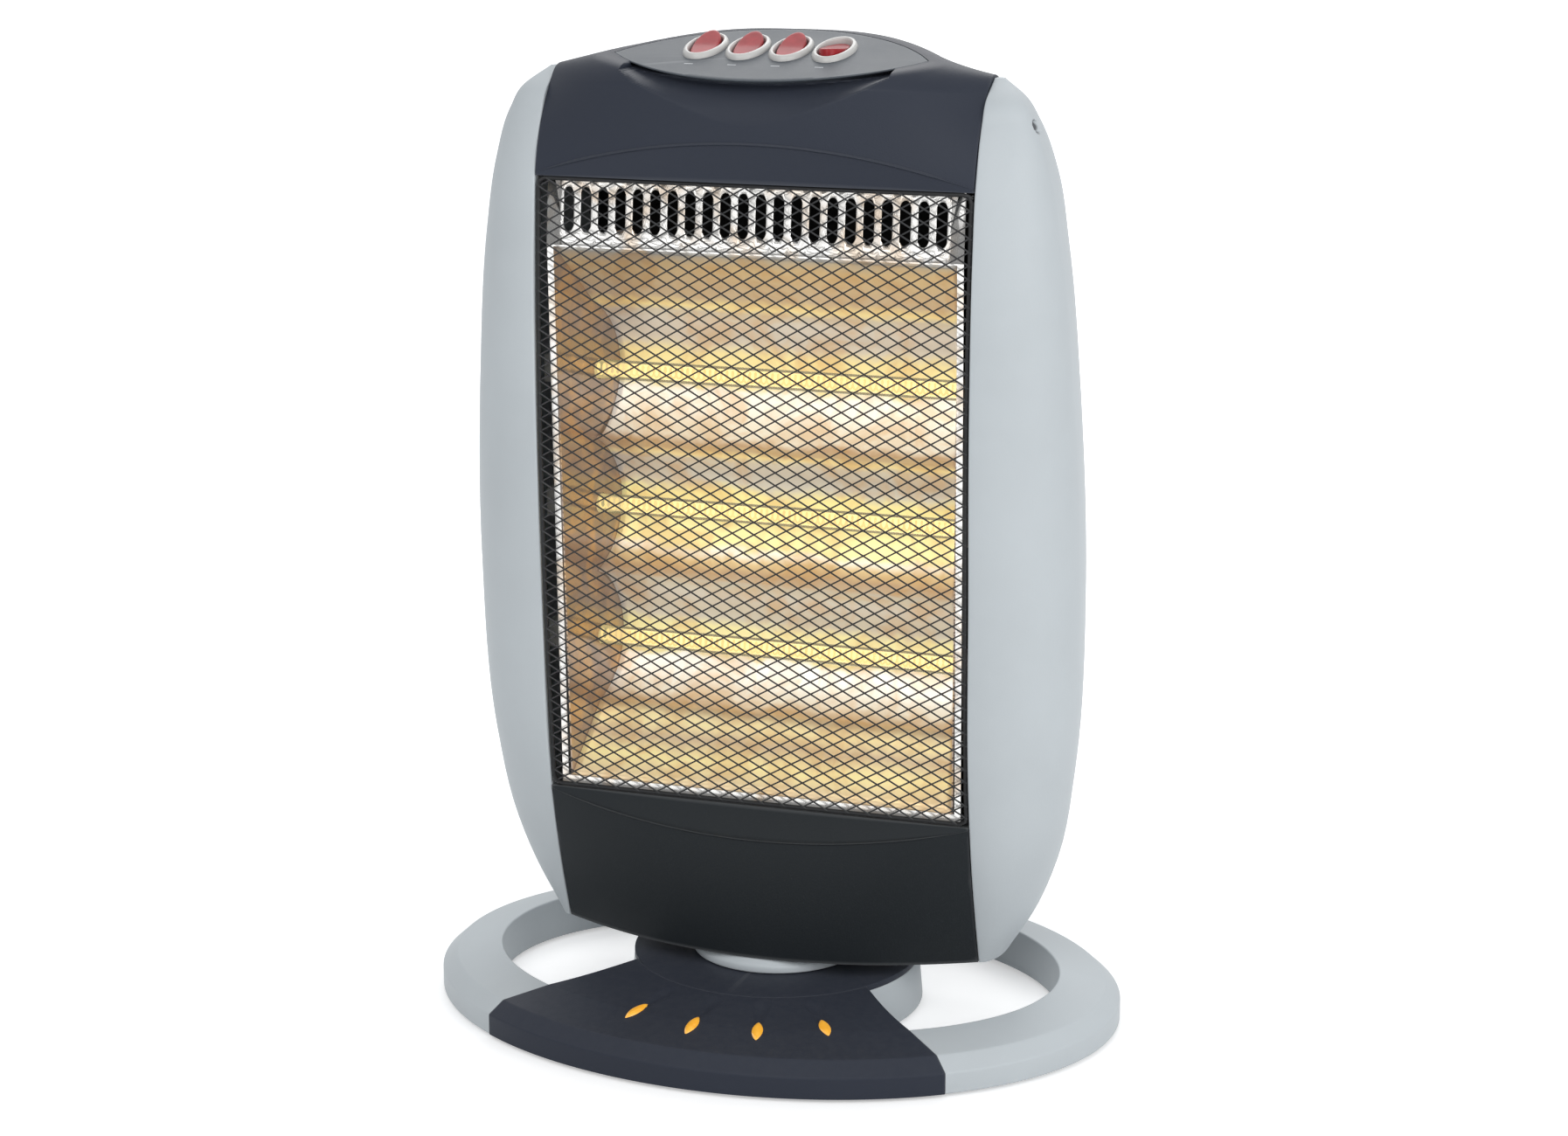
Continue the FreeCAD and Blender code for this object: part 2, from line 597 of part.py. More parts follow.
# Tip-over switch
def tip_plunger():
    """Floor feeler with a side finger that holds the switch closed while the heater stands."""
    stem = rod(PLUNGER_RADIUS, 0, PLUNGER_LENGTH, PLUNGER_X, PLUNGER_Y)
    reach = PLUNGER_X - PLUNGER_RADIUS - FINGER_LENGTH
    finger = box(reach, PLUNGER_X, PLUNGER_Y - PLUNGER_RADIUS, PLUNGER_Y + PLUNGER_RADIUS,
                 PLUNGER_LENGTH - FINGER_THICKNESS, PLUNGER_LENGTH)
    return stem.fuse(finger).removeSplitter()


def plunger_guide():
    top = PLUNGER_LENGTH - FINGER_THICKNESS - PLUNGER_TRAVEL - RUN_GAP
    bore = PLUNGER_RADIUS + RUN_GAP
    return pipe(bore + GUIDE_WALL, bore, PLATE_TOP, top, PLUNGER_X, PLUNGER_Y)


def tip_switch():
    x1 = PLUNGER_X - PLUNGER_RADIUS - FINGER_LENGTH - RUN_GAP
    y0 = PLUNGER_Y - TIP_SWITCH_DEPTH / 2
    return box(x1 - TIP_SWITCH_WIDTH, x1, y0, y0 + TIP_SWITCH_DEPTH, PLATE_TOP, PLATE_TOP + TIP_SWITCH_HEIGHT)


# Head mouldings
def bulge(x, z, reach, front, widest, rear):
    """Level outline that bulges to +X in two quarter ovals, closed by its chord."""
    points = []
    for step in range(-SHELL_FLATS, SHELL_FLATS + 1):
        turn = math.pi / 2 * step / SHELL_FLATS
        half_depth = rear - widest if step > 0 else widest - front
        points.append(Vector(x + reach * math.cos(turn), widest + half_depth * math.sin(turn), z))
    return points


def shell_form(inner_x, wall):
    """Side bulge skinned through the head outline; a wall draws it in all round."""
    levels = []
    for height, front, rear, width, widest in OUTLINE[:-1] if wall else OUTLINE:
        z = HEAD_BOTTOM + height * HEAD_HEIGHT + (wall if height == 0.0 else 0)
        reach = width * HEAD_WIDTH / 2 - wall - inner_x
        seams = [HEAD_BACK_SET + share * HEAD_DEPTH for share in (front, rear)]
        line = seams[0] + widest * (seams[1] - seams[0])
        levels.append(bulge(inner_x, z, reach, seams[0] + wall, line, seams[1] - wall))
    return skin(levels)


def shell_screw_seat():
    """X of the shell's outside at the side screw."""
    ends = [Vector(x, SHELL_SCREW_Y, SHELL_SCREW_Z) for x in (SEAM_X, HEAD_WIDTH)]
    probe = Part.makeLine(*ends)
    return shell_form(SHELL_INNER_X, 0).common(probe).BoundBox.XMax


def right_side_shell():
    shell = shell_form(SHELL_INNER_X, 0).cut(shell_form(SHELL_INNER_X - 1, WALL))
    seat = shell_screw_seat()
    root = seat - SHELL_SCREW_LENGTH
    boss = rod_x(2 * SHELL_SCREW_RADIUS, root, seat, SHELL_SCREW_Y, SHELL_SCREW_Z)
    shell = shell.fuse(boss.common(shell_form(SHELL_INNER_X, 0)))
    recess = rod_x(SHELL_SCREW_RADIUS + SEAM_GAP, root, seat + WALL, SHELL_SCREW_Y, SHELL_SCREW_Z)
    return shell.cut(recess).removeSplitter()


def shell_screw():
    seat = shell_screw_seat()
    return rod_x(SHELL_SCREW_RADIUS, seat - SHELL_SCREW_LENGTH, seat - WALL, SHELL_SCREW_Y, SHELL_SCREW_Z)


def side_section(x, corners, bends):
    """Closed side-view outline at x: arcs through the bends, straight where a bend is None."""
    points = [Vector(x, y, z) for y, z in corners]
    outline = []
    for start, end, bend in zip(points, points[1:] + points[:1], bends):
        outline += [start] if bend is None else arc_points(start, Vector(x, *bend), end, ARC_FLATS)
    return outline


def cross_skin(edge_section, middle_section, half, powers):
    """Skin across the head; each point goes from middle to edge with its own power of the distance."""
    sections = []
    for step in CROSS_STEPS:
        blends = [abs(step) ** power for power in powers]
        lists = []
        for edges, middles in zip(edge_section, middle_section):
            lists.append([None if e is None else tuple(m + (n - m) * blend for n, m in zip(e, mid))
                          for e, mid, blend in zip(edges, middles, blends)])
        sections.append(side_section(step * half, *lists))
    return skin(sections)


def upper_form(wall):
    """Upper front moulding; a wall draws its front and top in and opens its back and ends."""
    spare = 1 if wall else 0
    back, foot = PARTING_Y + spare, GUARD_TOP + wall
    lip_y = seam_y(1, GUARD_TOP) + wall
    knee_z = HEAD_TOP - KNEE_DROP - wall
    swell_z = (foot + knee_z) / 2
    edge = ([(lip_y, foot), (lip_y, foot + PANEL_LIP), (seam_y(1, knee_z + wall) + wall, knee_z),
             (back, HEAD_TOP - BACK_DROP - wall), (back, foot)],
            [None, (seam_y(1, swell_z) + wall, swell_z), (HEAD_BACK_SET - CREST_BACK, HEAD_TOP - wall),
             None, None])
    front = DECK_FRONT_Y + wall
    drop = CROWN_WALL * wall
    middle = ([(lip_y - PANEL_LIP, foot), (front, foot + UPPER_CREASE),
               (front + BROW_RUN, DECK_FRONT_Z - BROW_DROP - drop), (back, CREST_Z - drop), (back, foot)],
              [None, (front - UPPER_SWELL, foot + UPPER_SWELL_RISE),
               (front + CROWN_BEND_RUN, CREST_Z - CROWN_BEND_DROP - drop), None, None])
    powers = (2, 2, TOP_FLATNESS, TOP_FLATNESS, 2)
    return cross_skin(edge, middle, PANEL_HALF + spare, powers)


def deck_box(x0, x1, y0, y1, z0, z1):
    """Box in the tilted frame of the control panel."""
    block = box(x0, x1, y0, y1, z0, z1)
    block.Placement = DECK_PLACE.multiply(block.Placement)
    return block


def deck_oval(x, half_width, half_length, z0, z1):
    """Oval block on the control panel, its long side up the slope."""
    block = peg(half_width, half_length, Vector(x, SWITCH_UP_SLOPE, z0), Vector(0, 0, z1 - z0), OVAL_FLATS)
    block.Placement = DECK_PLACE.multiply(block.Placement)
    return block


def switch_block(x, grow, z0, z1):
    """Rectangular switch housing, with room round it where it grows."""
    half_x, half_y = WELL_HALF_WIDTH + SWITCH_WALL + grow, WELL_HALF_LENGTH + SWITCH_WALL + grow
    return deck_box(x - half_x, x + half_x, SWITCH_UP_SLOPE - half_y, SWITCH_UP_SLOPE + half_y, z0, z1)


def lens_block(grow, z0, z1):
    """Upright block with the control panel's lens outline, between two levels of its tilted frame."""
    tips = [Vector(side * (DECK_HALF_WIDTH + grow), DECK_TIP_Y, 0) for side in (-1, 1)]
    outline = arc_points(tips[0], Vector(0, DECK_FRONT_Y - grow, 0), tips[1], 2 * ARC_FLATS)
    outline += arc_points(tips[1], Vector(0, DECK_BACK_Y + grow, 0), tips[0], 2 * ARC_FLATS)
    block = prism(outline, Vector(0, 0, 2 * CREST_Z))
    return block.common(deck_box(-HEAD_WIDTH, HEAD_WIDTH, -HEAD_DEPTH, 2 * HEAD_DEPTH, z0, z1))


def scoop(grow):
    """Wedge that leans into the bowed moulding under the panel's front lip and leaves a crescent there."""
    lip = DECK_FRONT_Z - DECK_THICKNESS
    foot = lip - SCOOP_HEIGHT
    outline = ((DECK_FRONT_Y + SCOOP_DEPTH + grow, lip), (-HEAD_DEPTH, lip), (-HEAD_DEPTH, foot),
               (DECK_FRONT_Y + grow, foot))
    return prism([Vector(-SEAM_X, y, z) for y, z in outline], Vector(2 * SEAM_X, 0, 0))


def upper_front_panel():
    panel = upper_form(0).cut(upper_form(WALL).cut(scoop(WALL)))
    panel = panel.cut(lens_block(SEAM_GAP / 2, -DECK_THICKNESS, HEAD_DEPTH)).cut(scoop(0))
    for x in SWITCH_XS:
        panel = panel.cut(switch_block(x, SEAM_GAP, -SWITCH_BODY_DEPTH - CROWN_RISE, 1))
    return max(panel.removeSplitter().Solids, key=lambda solid: solid.Volume)


def control_panel():
    panel = lens_block(0, -DECK_THICKNESS, 0)
    for x in SWITCH_XS:
        panel = panel.cut(deck_oval(x, WELL_HALF_WIDTH, WELL_HALF_LENGTH, -DECK_THICKNESS - 1, 1))
    return panel.removeSplitter()


def switch_bezels():
    rings = []
    for x in SWITCH_XS:
        ring = deck_oval(x, BEZEL_HALF_WIDTH, BEZEL_HALF_LENGTH, 0, BEZEL_HEIGHT)
        rings.append(ring.cut(deck_oval(x, WELL_HALF_WIDTH, WELL_HALF_LENGTH, -1, BEZEL_HEIGHT + 1)))
    return Part.makeCompound(rings)


def switch_bodies():
    bodies = []
    for x in SWITCH_XS:
        body = switch_block(x, 0, -SWITCH_BODY_DEPTH, -DECK_THICKNESS)
        well = deck_oval(x, WELL_HALF_WIDTH, WELL_HALF_LENGTH, -DECK_THICKNESS - WELL_DEPTH, 0)
        bodies.append(body.cut(well))
    return Part.makeCompound(bodies)


def rocker(x, tilt):
    """Rocker with two sloping faces and ends rounded about its pivot."""
    half = WELL_HALF_LENGTH - ROCKER_GAP
    outline = [(-half, ROCKER_RISE), (0, ROCKER_WAIST), (half, ROCKER_RISE), (half, ROCKER_END),
               (0, -ROCKER_KEEL), (-half, ROCKER_END)]
    wide = WELL_HALF_WIDTH
    block = prism([Vector(-wide, y, z) for y, z in outline], Vector(2 * wide, 0, 0))
    block = block.common(rod_x(half, -wide, wide, 0, 0))
    plan = peg(wide - ROCKER_GAP, half, Vector(0, 0, -half), Vector(0, 0, 2 * half), OVAL_FLATS)
    block = block.common(plan)
    block.rotate(Vector(0, 0, 0), Vector(1, 0, 0), tilt)
    block.translate(Vector(x, SWITCH_UP_SLOPE, 0))
    block.Placement = DECK_PLACE.multiply(block.Placement)
    return block


def lower_form(wall):
    """Lower front moulding, bowed forward in plan; a wall draws it in and opens its back, ends and foot."""
    spare = 1 if wall else 0
    back, foot = LOWER_BACK_Y + spare, HEAD_BOTTOM - spare
    top = GUARD_BOTTOM - SEAM_GAP - wall
    lip_y = seam_y(1, GUARD_BOTTOM) + wall
    corner_y = seam_y(1, HEAD_BOTTOM) + wall
    swell_z = (HEAD_BOTTOM + GUARD_BOTTOM) / 2
    edge = ([(lip_y, top), (lip_y, top - PANEL_LIP), (corner_y, foot), (back, foot), (back, top)],
            [None, (seam_y(1, swell_z) + wall, swell_z), None, None, None])
    front = corner_y - BOTTOM_BULGE
    middle = ([(lip_y - PANEL_LIP / 3, top), (front - LOWER_SWELL, top - LOWER_CREASE), (front, foot),
               (back, foot), (back, top)],
              [None, (front - LOWER_MID_SWELL, swell_z - LOWER_MID_DROP), None, None, None])
    return cross_skin(edge, middle, PANEL_HALF + spare, (2,) * len(edge[0]))


def lower_front_panel():
    return lower_form(0).cut(lower_form(WALL)).removeSplitter()


def rear_form(wall):
    """Rear cover, a little fuller in the middle than at the seams; its top curves forward to the parting."""
    parting = PARTING_Y + SEAM_GAP - (1 if wall else 0)
    bottom, edge_top = HEAD_BOTTOM + wall, HEAD_TOP - BACK_DROP - wall
    rows = [row for row in OUTLINE if HEAD_BACK_SET + row[2] * HEAD_DEPTH > PARTING_Y + WALL]
    seams = [HEAD_BACK_SET + row[2] * HEAD_DEPTH - wall for row in rows]
    shares = [row[0] * HEAD_HEIGHT / (HEAD_TOP - BACK_DROP - HEAD_BOTTOM) for row in rows]
    sections = []
    for step in CROSS_STEPS:
        full = REAR_FULLNESS * (1 - step ** 2)
        top = edge_top + (CREST_Z - CROWN_WALL / 2 * wall - edge_top) * (1 - abs(step) ** TOP_FLATNESS)
        points = [(y + full, bottom + share * (top - bottom)) for y, share in zip(seams, shares)]
        points = [(parting, bottom)] + points + [(PARTING_Y + 2 * SEAM_GAP, top), (parting, top)]
        x = step * (PANEL_HALF + (1 if wall else 0))
        sections.append([Vector(x, y, z) for y, z in points])
    return skin(sections)


def rear_cover():
    cover = rear_form(0).cut(rear_form(WALL))
    slot = box(-VENT_ROW_LENGTH / 2, VENT_ROW_LENGTH / 2, -HEAD_DEPTH / 2, HEAD_DEPTH / 2,
               -VENT_ROW_HEIGHT / 2, VENT_ROW_HEIGHT / 2)
    for start, rows in ((UPPER_VENT_Z, UPPER_VENT_ROWS), (LOWER_VENT_Z, LOWER_VENT_ROWS)):
        depth = PARTING_Y + HEAD_DEPTH / 2 + WALL
        cutters = [moved(slot, VENT_COLUMN_PITCH * column, depth, start + VENT_ROW_PITCH * row)
                   for column in (-0.5, 0.5) for row in range(rows)]
        cover = cover.cut(cutters)
    return cover.removeSplitter()


def head_floor():
    """Steel tray that closes the head and carries it on the collar."""
    z = FLOOR_BOTTOM
    half = PANEL_HALF - WALL
    corner = seam_y(1, HEAD_BOTTOM) + WALL + 1.0
    bow = Vector(0, corner - BOTTOM_BULGE, z)
    back_y = PARTING_Y - SEAM_GAP
    outline = arc_points(Vector(-half, corner, z), bow, Vector(half, corner, z), 2 * ARC_FLATS)
    outline += [Vector(half, corner, z), Vector(half, back_y, z), Vector(-half, back_y, z)]
    floor = prism(outline, Vector(0, 0, FLOOR_THICKNESS))
    return floor.cut(rod(TUBE_RADIUS + RUN_GAP, 0, FLOOR_TOP + 1))


# Guard
def guard_circle():
    """Centre and radius, in side view, of the arc that the guard's front follows."""
    bottom = Vector(0, seam_y(1, GUARD_BOTTOM), GUARD_BOTTOM)
    top = Vector(0, seam_y(1, GUARD_TOP), GUARD_TOP)
    across = (top - bottom).normalize()
    middle = (top + bottom) * 0.5 + Vector(0, -across.z, across.y) * GUARD_BOW
    circle = Part.Arc(bottom, middle, top).toShape().Curve
    return circle.Center, circle.Radius


def guard_strip(depth_out, depth_in, half, z0, z1):
    """Bowed strip of the guard between two depths behind its front, bent from straight lengths."""
    centre, radius = guard_circle()
    turns = [math.asin((z - centre.z) / radius) for z in (GUARD_BOTTOM - 1, GUARD_TOP + 1)]
    steps = [turns[0] + (turns[1] - turns[0]) * i / GUARD_BENDS for i in range(GUARD_BENDS + 1)]
    sides = []
    for depth in (depth_out, depth_in):
        reach = radius - depth
        sides.append([Vector(-half, centre.y - reach * math.cos(t), centre.z + reach * math.sin(t))
                      for t in steps])
    strip = prism(sides[0] + sides[1][::-1], Vector(2 * half, 0, 0))
    return strip.common(box(-half, half, -HEAD_DEPTH, HEAD_DEPTH, z0, z1))


def guard_wires():
    """Two layers of straight wires that cross as diamonds and lie on one another."""
    z0, z1 = GUARD_BOTTOM + GUARD_BAR, GUARD_TOP - GUARD_BAR
    half = GUARD_ROD_X - GUARD_BAR / 2
    slope = math.atan2(MESH_RISE, MESH_PITCH)
    reach = half + (z1 - z0) / 2 / math.tan(slope)
    steps = int(reach / MESH_PITCH)
    wires = []
    for layer, turn in ((0, slope), (1, -slope)):
        strip = guard_strip(layer * WIRE, (layer + 1) * WIRE, half, z0, z1)
        for step in range(-steps, steps + 1):
            slab = box(-2 * reach, 2 * reach, -HEAD_DEPTH, HEAD_DEPTH, -WIRE / 2, WIRE / 2)
            slab.rotate(Vector(0, 0, 0), Vector(0, 1, 0), math.degrees(turn))
            slab.translate(Vector((step + layer / 2) * MESH_PITCH, 0, (z0 + z1) / 2))
            wires += strip.common(slab).Solids
    return Part.makeCompound(wires)


def guard_frame():
    """Rim of the guard: two bowed rods, a bar above and below, and cheeks back to the shells."""
    half, z0, z1 = PANEL_HALF - SEAM_GAP, GUARD_BOTTOM, GUARD_TOP - SEAM_GAP
    inner, rim = GUARD_ROD_X - GUARD_BAR / 2, GUARD_ROD_X + GUARD_BAR / 2
    window = box(-inner, inner, -HEAD_DEPTH, HEAD_DEPTH, GUARD_BOTTOM + GUARD_BAR, GUARD_TOP - GUARD_BAR)
    frame = guard_strip(0, GUARD_BAR, rim, z0, z1).cut(window)
    layers = (
        # front and rear depth, outer edge
        (GUARD_BAR / 2, CHEEK_DEPTH, rim + SHEET),
        (CHEEK_DEPTH - SHEET, CHEEK_DEPTH, half),
    )
    for side in (-1, 1):
        for depth_out, depth_in, edge in layers:
            x0, x1 = sorted((side * rim, side * edge))
            slab = box(x0, x1, -HEAD_DEPTH, HEAD_DEPTH, z0, z1)
            frame = frame.fuse(guard_strip(depth_out, depth_in, half, z0, z1).common(slab))
    return frame.removeSplitter()


# Reflector, lamps and what holds them
def flare_x(y):
    """Half width of the reflector's mouth at depth y, between its flared ends."""
    share = (y - MOUTH_TOP_Y) / (REFLECTOR_BACK_Y - MOUTH_TOP_Y)
    return OPENING_HALF + (REFLECTOR_BACK_HALF - OPENING_HALF) * share


def flare_wedge(grow, y0, y1, z0, z1):
    """Block between the two flared ends."""
    corners = [Vector(s * (flare_x(y) + grow), y, z0) for s, y in ((-1, y0), (1, y0), (1, y1), (-1, y1))]
    return prism(corners, Vector(0, 0, z1 - z0))


def reflector():
    """One polished sheet with three troughs, a lamp at the focus of each."""
    mouth_bottom = GUARD_BOTTOM + FRAME_BORDER
    half = LAMP_PITCH / 2
    x = -OPENING_HALF
    ridges = [LAMP_HEIGHTS[0] + half] + [z - half for z in LAMP_HEIGHTS]
    line = [Vector(x, MOUTH_TOP_Y, OPENING_TOP)]
    for z, start, end in zip(LAMP_HEIGHTS, ridges, ridges[1:]):
        trough = Vector(x, RIDGE_Y + TROUGH_DEPTH, z)
        line += arc_points(Vector(x, RIDGE_Y, start), trough, Vector(x, RIDGE_Y, end), 2 * ARC_FLATS)
    line += [Vector(x, RIDGE_Y, ridges[-1]), Vector(x, MOUTH_BOTTOM_Y, mouth_bottom)]
    back = [point + Vector(0, 1.5 * SHEET, 0) for point in reversed(line)]
    sheet = prism(line + back, Vector(2 * OPENING_HALF, 0, 0))
    return sheet.common(flare_wedge(0, MOUTH_TOP_Y, SHEET_BACK_Y, 0, CREST_Z))


def mouth_y(z):
    """Depth of the reflector's front frame, which leans with the guard."""
    share = (z - GUARD_BOTTOM) / (OPENING_TOP - GUARD_BOTTOM)
    return MOUTH_BOTTOM_Y + (MOUTH_TOP_Y - MOUTH_BOTTOM_Y) * share


def leaning_sheet(z0, z1, y0, y1, half):
    """Thin sheet across the head between two heights, its front face leaning from y0 to y1."""
    outline = ((y0, z0), (y1, z1), (y1 + SHEET, z1), (y0 + SHEET, z0))
    return prism([Vector(-half, y, z) for y, z in outline], Vector(2 * half, 0, 0))


def reflector_frame():
    """Polished flange round the reflector's mouth."""
    z0 = GUARD_BOTTOM - SEAM_GAP
    lift = -SHEET - SEAM_GAP
    sheet = leaning_sheet(z0, OPENING_TOP, mouth_y(z0) + lift, mouth_y(OPENING_TOP) + lift, VENT_HALF_WIDTH)
    low, high = GUARD_BOTTOM + FRAME_BORDER, OPENING_TOP - SHEET
    return sheet.cut(box(-OPENING_HALF, OPENING_HALF, -HEAD_DEPTH, HEAD_DEPTH, low, high))


def vent_panel():
    """Slotted sheet above the reflector that lets warm air out behind the guard."""
    z0, z1 = OPENING_TOP, GUARD_TOP
    y0 = mouth_y(OPENING_TOP) - SHEET - SEAM_GAP
    sheet = leaning_sheet(z0, z1, y0, VENT_TOP_Y, VENT_HALF_WIDTH)
    slot = slot_block(VENT_SLOT_WIDTH, VENT_SLOT_HEIGHT, HEAD_DEPTH)
    row_z = (z0 + z1) / 2 + SHEET
    cutters = [moved(slot, VENT_PITCH * (i - (VENT_SLOTS - 1) / 2), 0, row_z) for i in range(VENT_SLOTS)]
    return sheet.cut(cutters)


def end_plate():
    """Flared end of the reflector, pierced for the three lamps."""
    z0, z1 = GUARD_BOTTOM, OPENING_TOP
    y0, y1 = MOUTH_TOP_Y, SHEET_BACK_Y
    plate = flare_wedge(SHEET, y0, y1, z0, z1).cut(flare_wedge(0, y0 - 1, y1 + 1, z0 - 1, z1 + 1))
    lean = ((-HEAD_DEPTH, z0), (MOUTH_BOTTOM_Y, z0), (MOUTH_TOP_Y, z1), (-HEAD_DEPTH, z1))
    in_front = prism([Vector(-HEAD_WIDTH, y, z) for y, z in lean], Vector(2 * HEAD_WIDTH, 0, 0))
    plate = plate.cut(in_front).common(box(0, HEAD_WIDTH, -HEAD_DEPTH, HEAD_DEPTH, z0, z1))
    for z in LAMP_HEIGHTS:
        plate = plate.cut(rod_x(LAMP_RADIUS + RUN_GAP, 0, HEAD_WIDTH, LAMP_Y, z))
    return plate


def end_plates():
    plate = end_plate()
    return Part.makeCompound([plate, mirrored(plate)])


def quartz_tube(z):
    """Clear tube, hollow between its two sealed ends."""
    tube = rod_x(LAMP_RADIUS, -LAMP_HALF_LENGTH, LAMP_HALF_LENGTH, LAMP_Y, z)
    bore = LAMP_HALF_LENGTH - LAMP_SEAL
    return tube.cut(rod_x(LAMP_RADIUS - LAMP_GLASS, -bore, bore, LAMP_Y, z))


def lamp_filaments():
    half = LAMP_HALF_LENGTH - LAMP_SEAL
    return Part.makeCompound([rod_x(FILAMENT_RADIUS, -half, half, LAMP_Y, z) for z in LAMP_HEIGHTS])


def socket_block(half, x0, x1, z):
    """Square block on a lamp's axis."""
    return box(x0, x1, LAMP_Y - half, LAMP_Y + half, z - half, z + half)


def ceramic_caps():
    """Square socket on each lamp end, flanged where it sits on the rail."""
    caps = []
    start = LAMP_HALF_LENGTH - CAP_BORE_DEPTH
    seat = RAIL_X + SHEET
    for z in LAMP_HEIGHTS:
        cap = socket_block(CAP_HALF, start, start + CAP_LENGTH, z)
        cap = cap.fuse(socket_block(CAP_FLANGE_HALF, seat, seat + CAP_FLANGE, z))
        cap = cap.cut(rod_x(LAMP_RADIUS, start - 1, LAMP_HALF_LENGTH, LAMP_Y, z)).removeSplitter()
        caps += [cap, mirrored(cap)]
    return Part.makeCompound(caps)


def lamp_rails():
    """Upright strip at each side that carries the caps, bent in at both ends to the end plate."""
    half = RAIL_WIDTH / 2
    low, high = LAMP_HEIGHTS[-1] - LAMP_PITCH / 2, LAMP_HEIGHTS[0] + LAMP_PITCH / 2
    rail = box(RAIL_X, RAIL_X + SHEET, LAMP_Y - half, LAMP_Y + half, low, high)
    for z0, z1 in ((low - SHEET, low), (high, high + SHEET)):
        rail = rail.fuse(box(REFLECTOR_BACK_HALF, RAIL_X + SHEET, LAMP_Y - half, LAMP_Y + half, z0, z1))
    rail = rail.cut(flare_wedge(SHEET, MOUTH_TOP_Y, SHEET_BACK_Y, low - 1, high + 1))
    for z in LAMP_HEIGHTS:
        rail = rail.cut(socket_block(CAP_HALF + SEAM_GAP, RAIL_X - 1, RAIL_X + 1, z))
    rail = rail.removeSplitter()
    return Part.makeCompound([rail, mirrored(rail)])


def heat_shield():
    """Plain sheet behind the reflector, lying on the ends of the end plates."""
    half = VENT_HALF_WIDTH
    return box(-half, half, SHEET_BACK_Y, SHEET_BACK_Y + SHEET, GUARD_BOTTOM, OPENING_TOP)


def thermal_cutout():
    seat, out = Vector(SIDE_SHARE * SEAM_X, SHEET_BACK_Y + SHEET, CUTOUT_Z), Vector(0, CUTOUT_HEIGHT, 0)
    cap = CUTOUT_RADIUS * CUTOUT_CAP
    return peg(CUTOUT_RADIUS, CUTOUT_RADIUS, seat, out / 2).fuse(peg(cap, cap, seat, out)).removeSplitter()


def terminal_block():
    half, middle = TERMINAL_LENGTH / 2, -SIDE_SHARE * SEAM_X
    block = box(middle - half, middle + half, 0, TERMINAL_DEPTH, FLOOR_TOP, FLOOR_TOP + TERMINAL_HEIGHT)
    pitch = TERMINAL_LENGTH / TERMINAL_POLES
    for i in range(TERMINAL_POLES):
        x = middle - half + pitch * (i + 0.5)
        z0, z1 = FLOOR_TOP + TERMINAL_HEIGHT / 2, FLOOR_TOP + TERMINAL_HEIGHT + 1
        half_hole = pitch * TERMINAL_BORE
        block = block.cut(box(x - half_hole, x + half_hole, TERMINAL_DEPTH / 2 - half_hole,
                              TERMINAL_DEPTH / 2 + half_hole, z0, z1))
    return block


# Assembly, from the floor up
save("base_ring", base_ring())
save("base_front_cover", base_front_cover())
save("amber_markers", amber_markers())
save("hub_lid", hub_lid())
save("hub_bottom_plate", hub_bottom_plate())
for place, (foot_x, foot_y) in foot_places().items():
    save("rubber_foot_" + place, rubber_foot(foot_x, foot_y))
save("cord_inlet", cord_inlet())
save("pivot_tube", pivot_tube())
save("pivot_nut", pivot_nut())
save("thrust_washer", thrust_washer())
save("oscillation_motor", oscillation_motor())
save("crank_disc", crank_disc())
save("plunger_guide", plunger_guide())
save("tip_switch", tip_switch())
save("tip_plunger", tip_plunger())
save("swivel_collar", swivel_collar())
save("oscillation_arm", oscillation_arm())
save("head_floor", head_floor())
save("terminal_block", terminal_block())
right_shell = right_side_shell()
save("right_side_shell", right_shell)
save("left_side_shell", mirrored(right_shell))
screw = shell_screw()
save("shell_screws", Part.makeCompound([screw, mirrored(screw)]))
save("lower_front_panel", lower_front_panel())
save("upper_front_panel", upper_front_panel())
save("control_panel", control_panel())
save("switch_bezels", switch_bezels())
save("switch_bodies", switch_bodies())
for number, switch_x in enumerate(SWITCH_XS, 1):
    save("rocker_%d" % number, rocker(switch_x, -ROCKER_TILT if number == SWITCH_COUNT else ROCKER_TILT))
save("rear_cover", rear_cover())
save("heat_shield", heat_shield())
save("thermal_cutout", thermal_cutout())
save("reflector", reflector())
save("end_plates", end_plates())
save("reflector_frame", reflector_frame())
save("vent_panel", vent_panel())
save("lamp_rails", lamp_rails())
save("ceramic_caps", ceramic_caps())
for number, lamp_z in enumerate(LAMP_HEIGHTS, 1):
    save("quartz_tube_%d" % number, quartz_tube(lamp_z))
save("lamp_filaments", lamp_filaments())
save("guard_wires", guard_wires())
save("guard_frame", guard_frame())
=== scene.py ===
import math

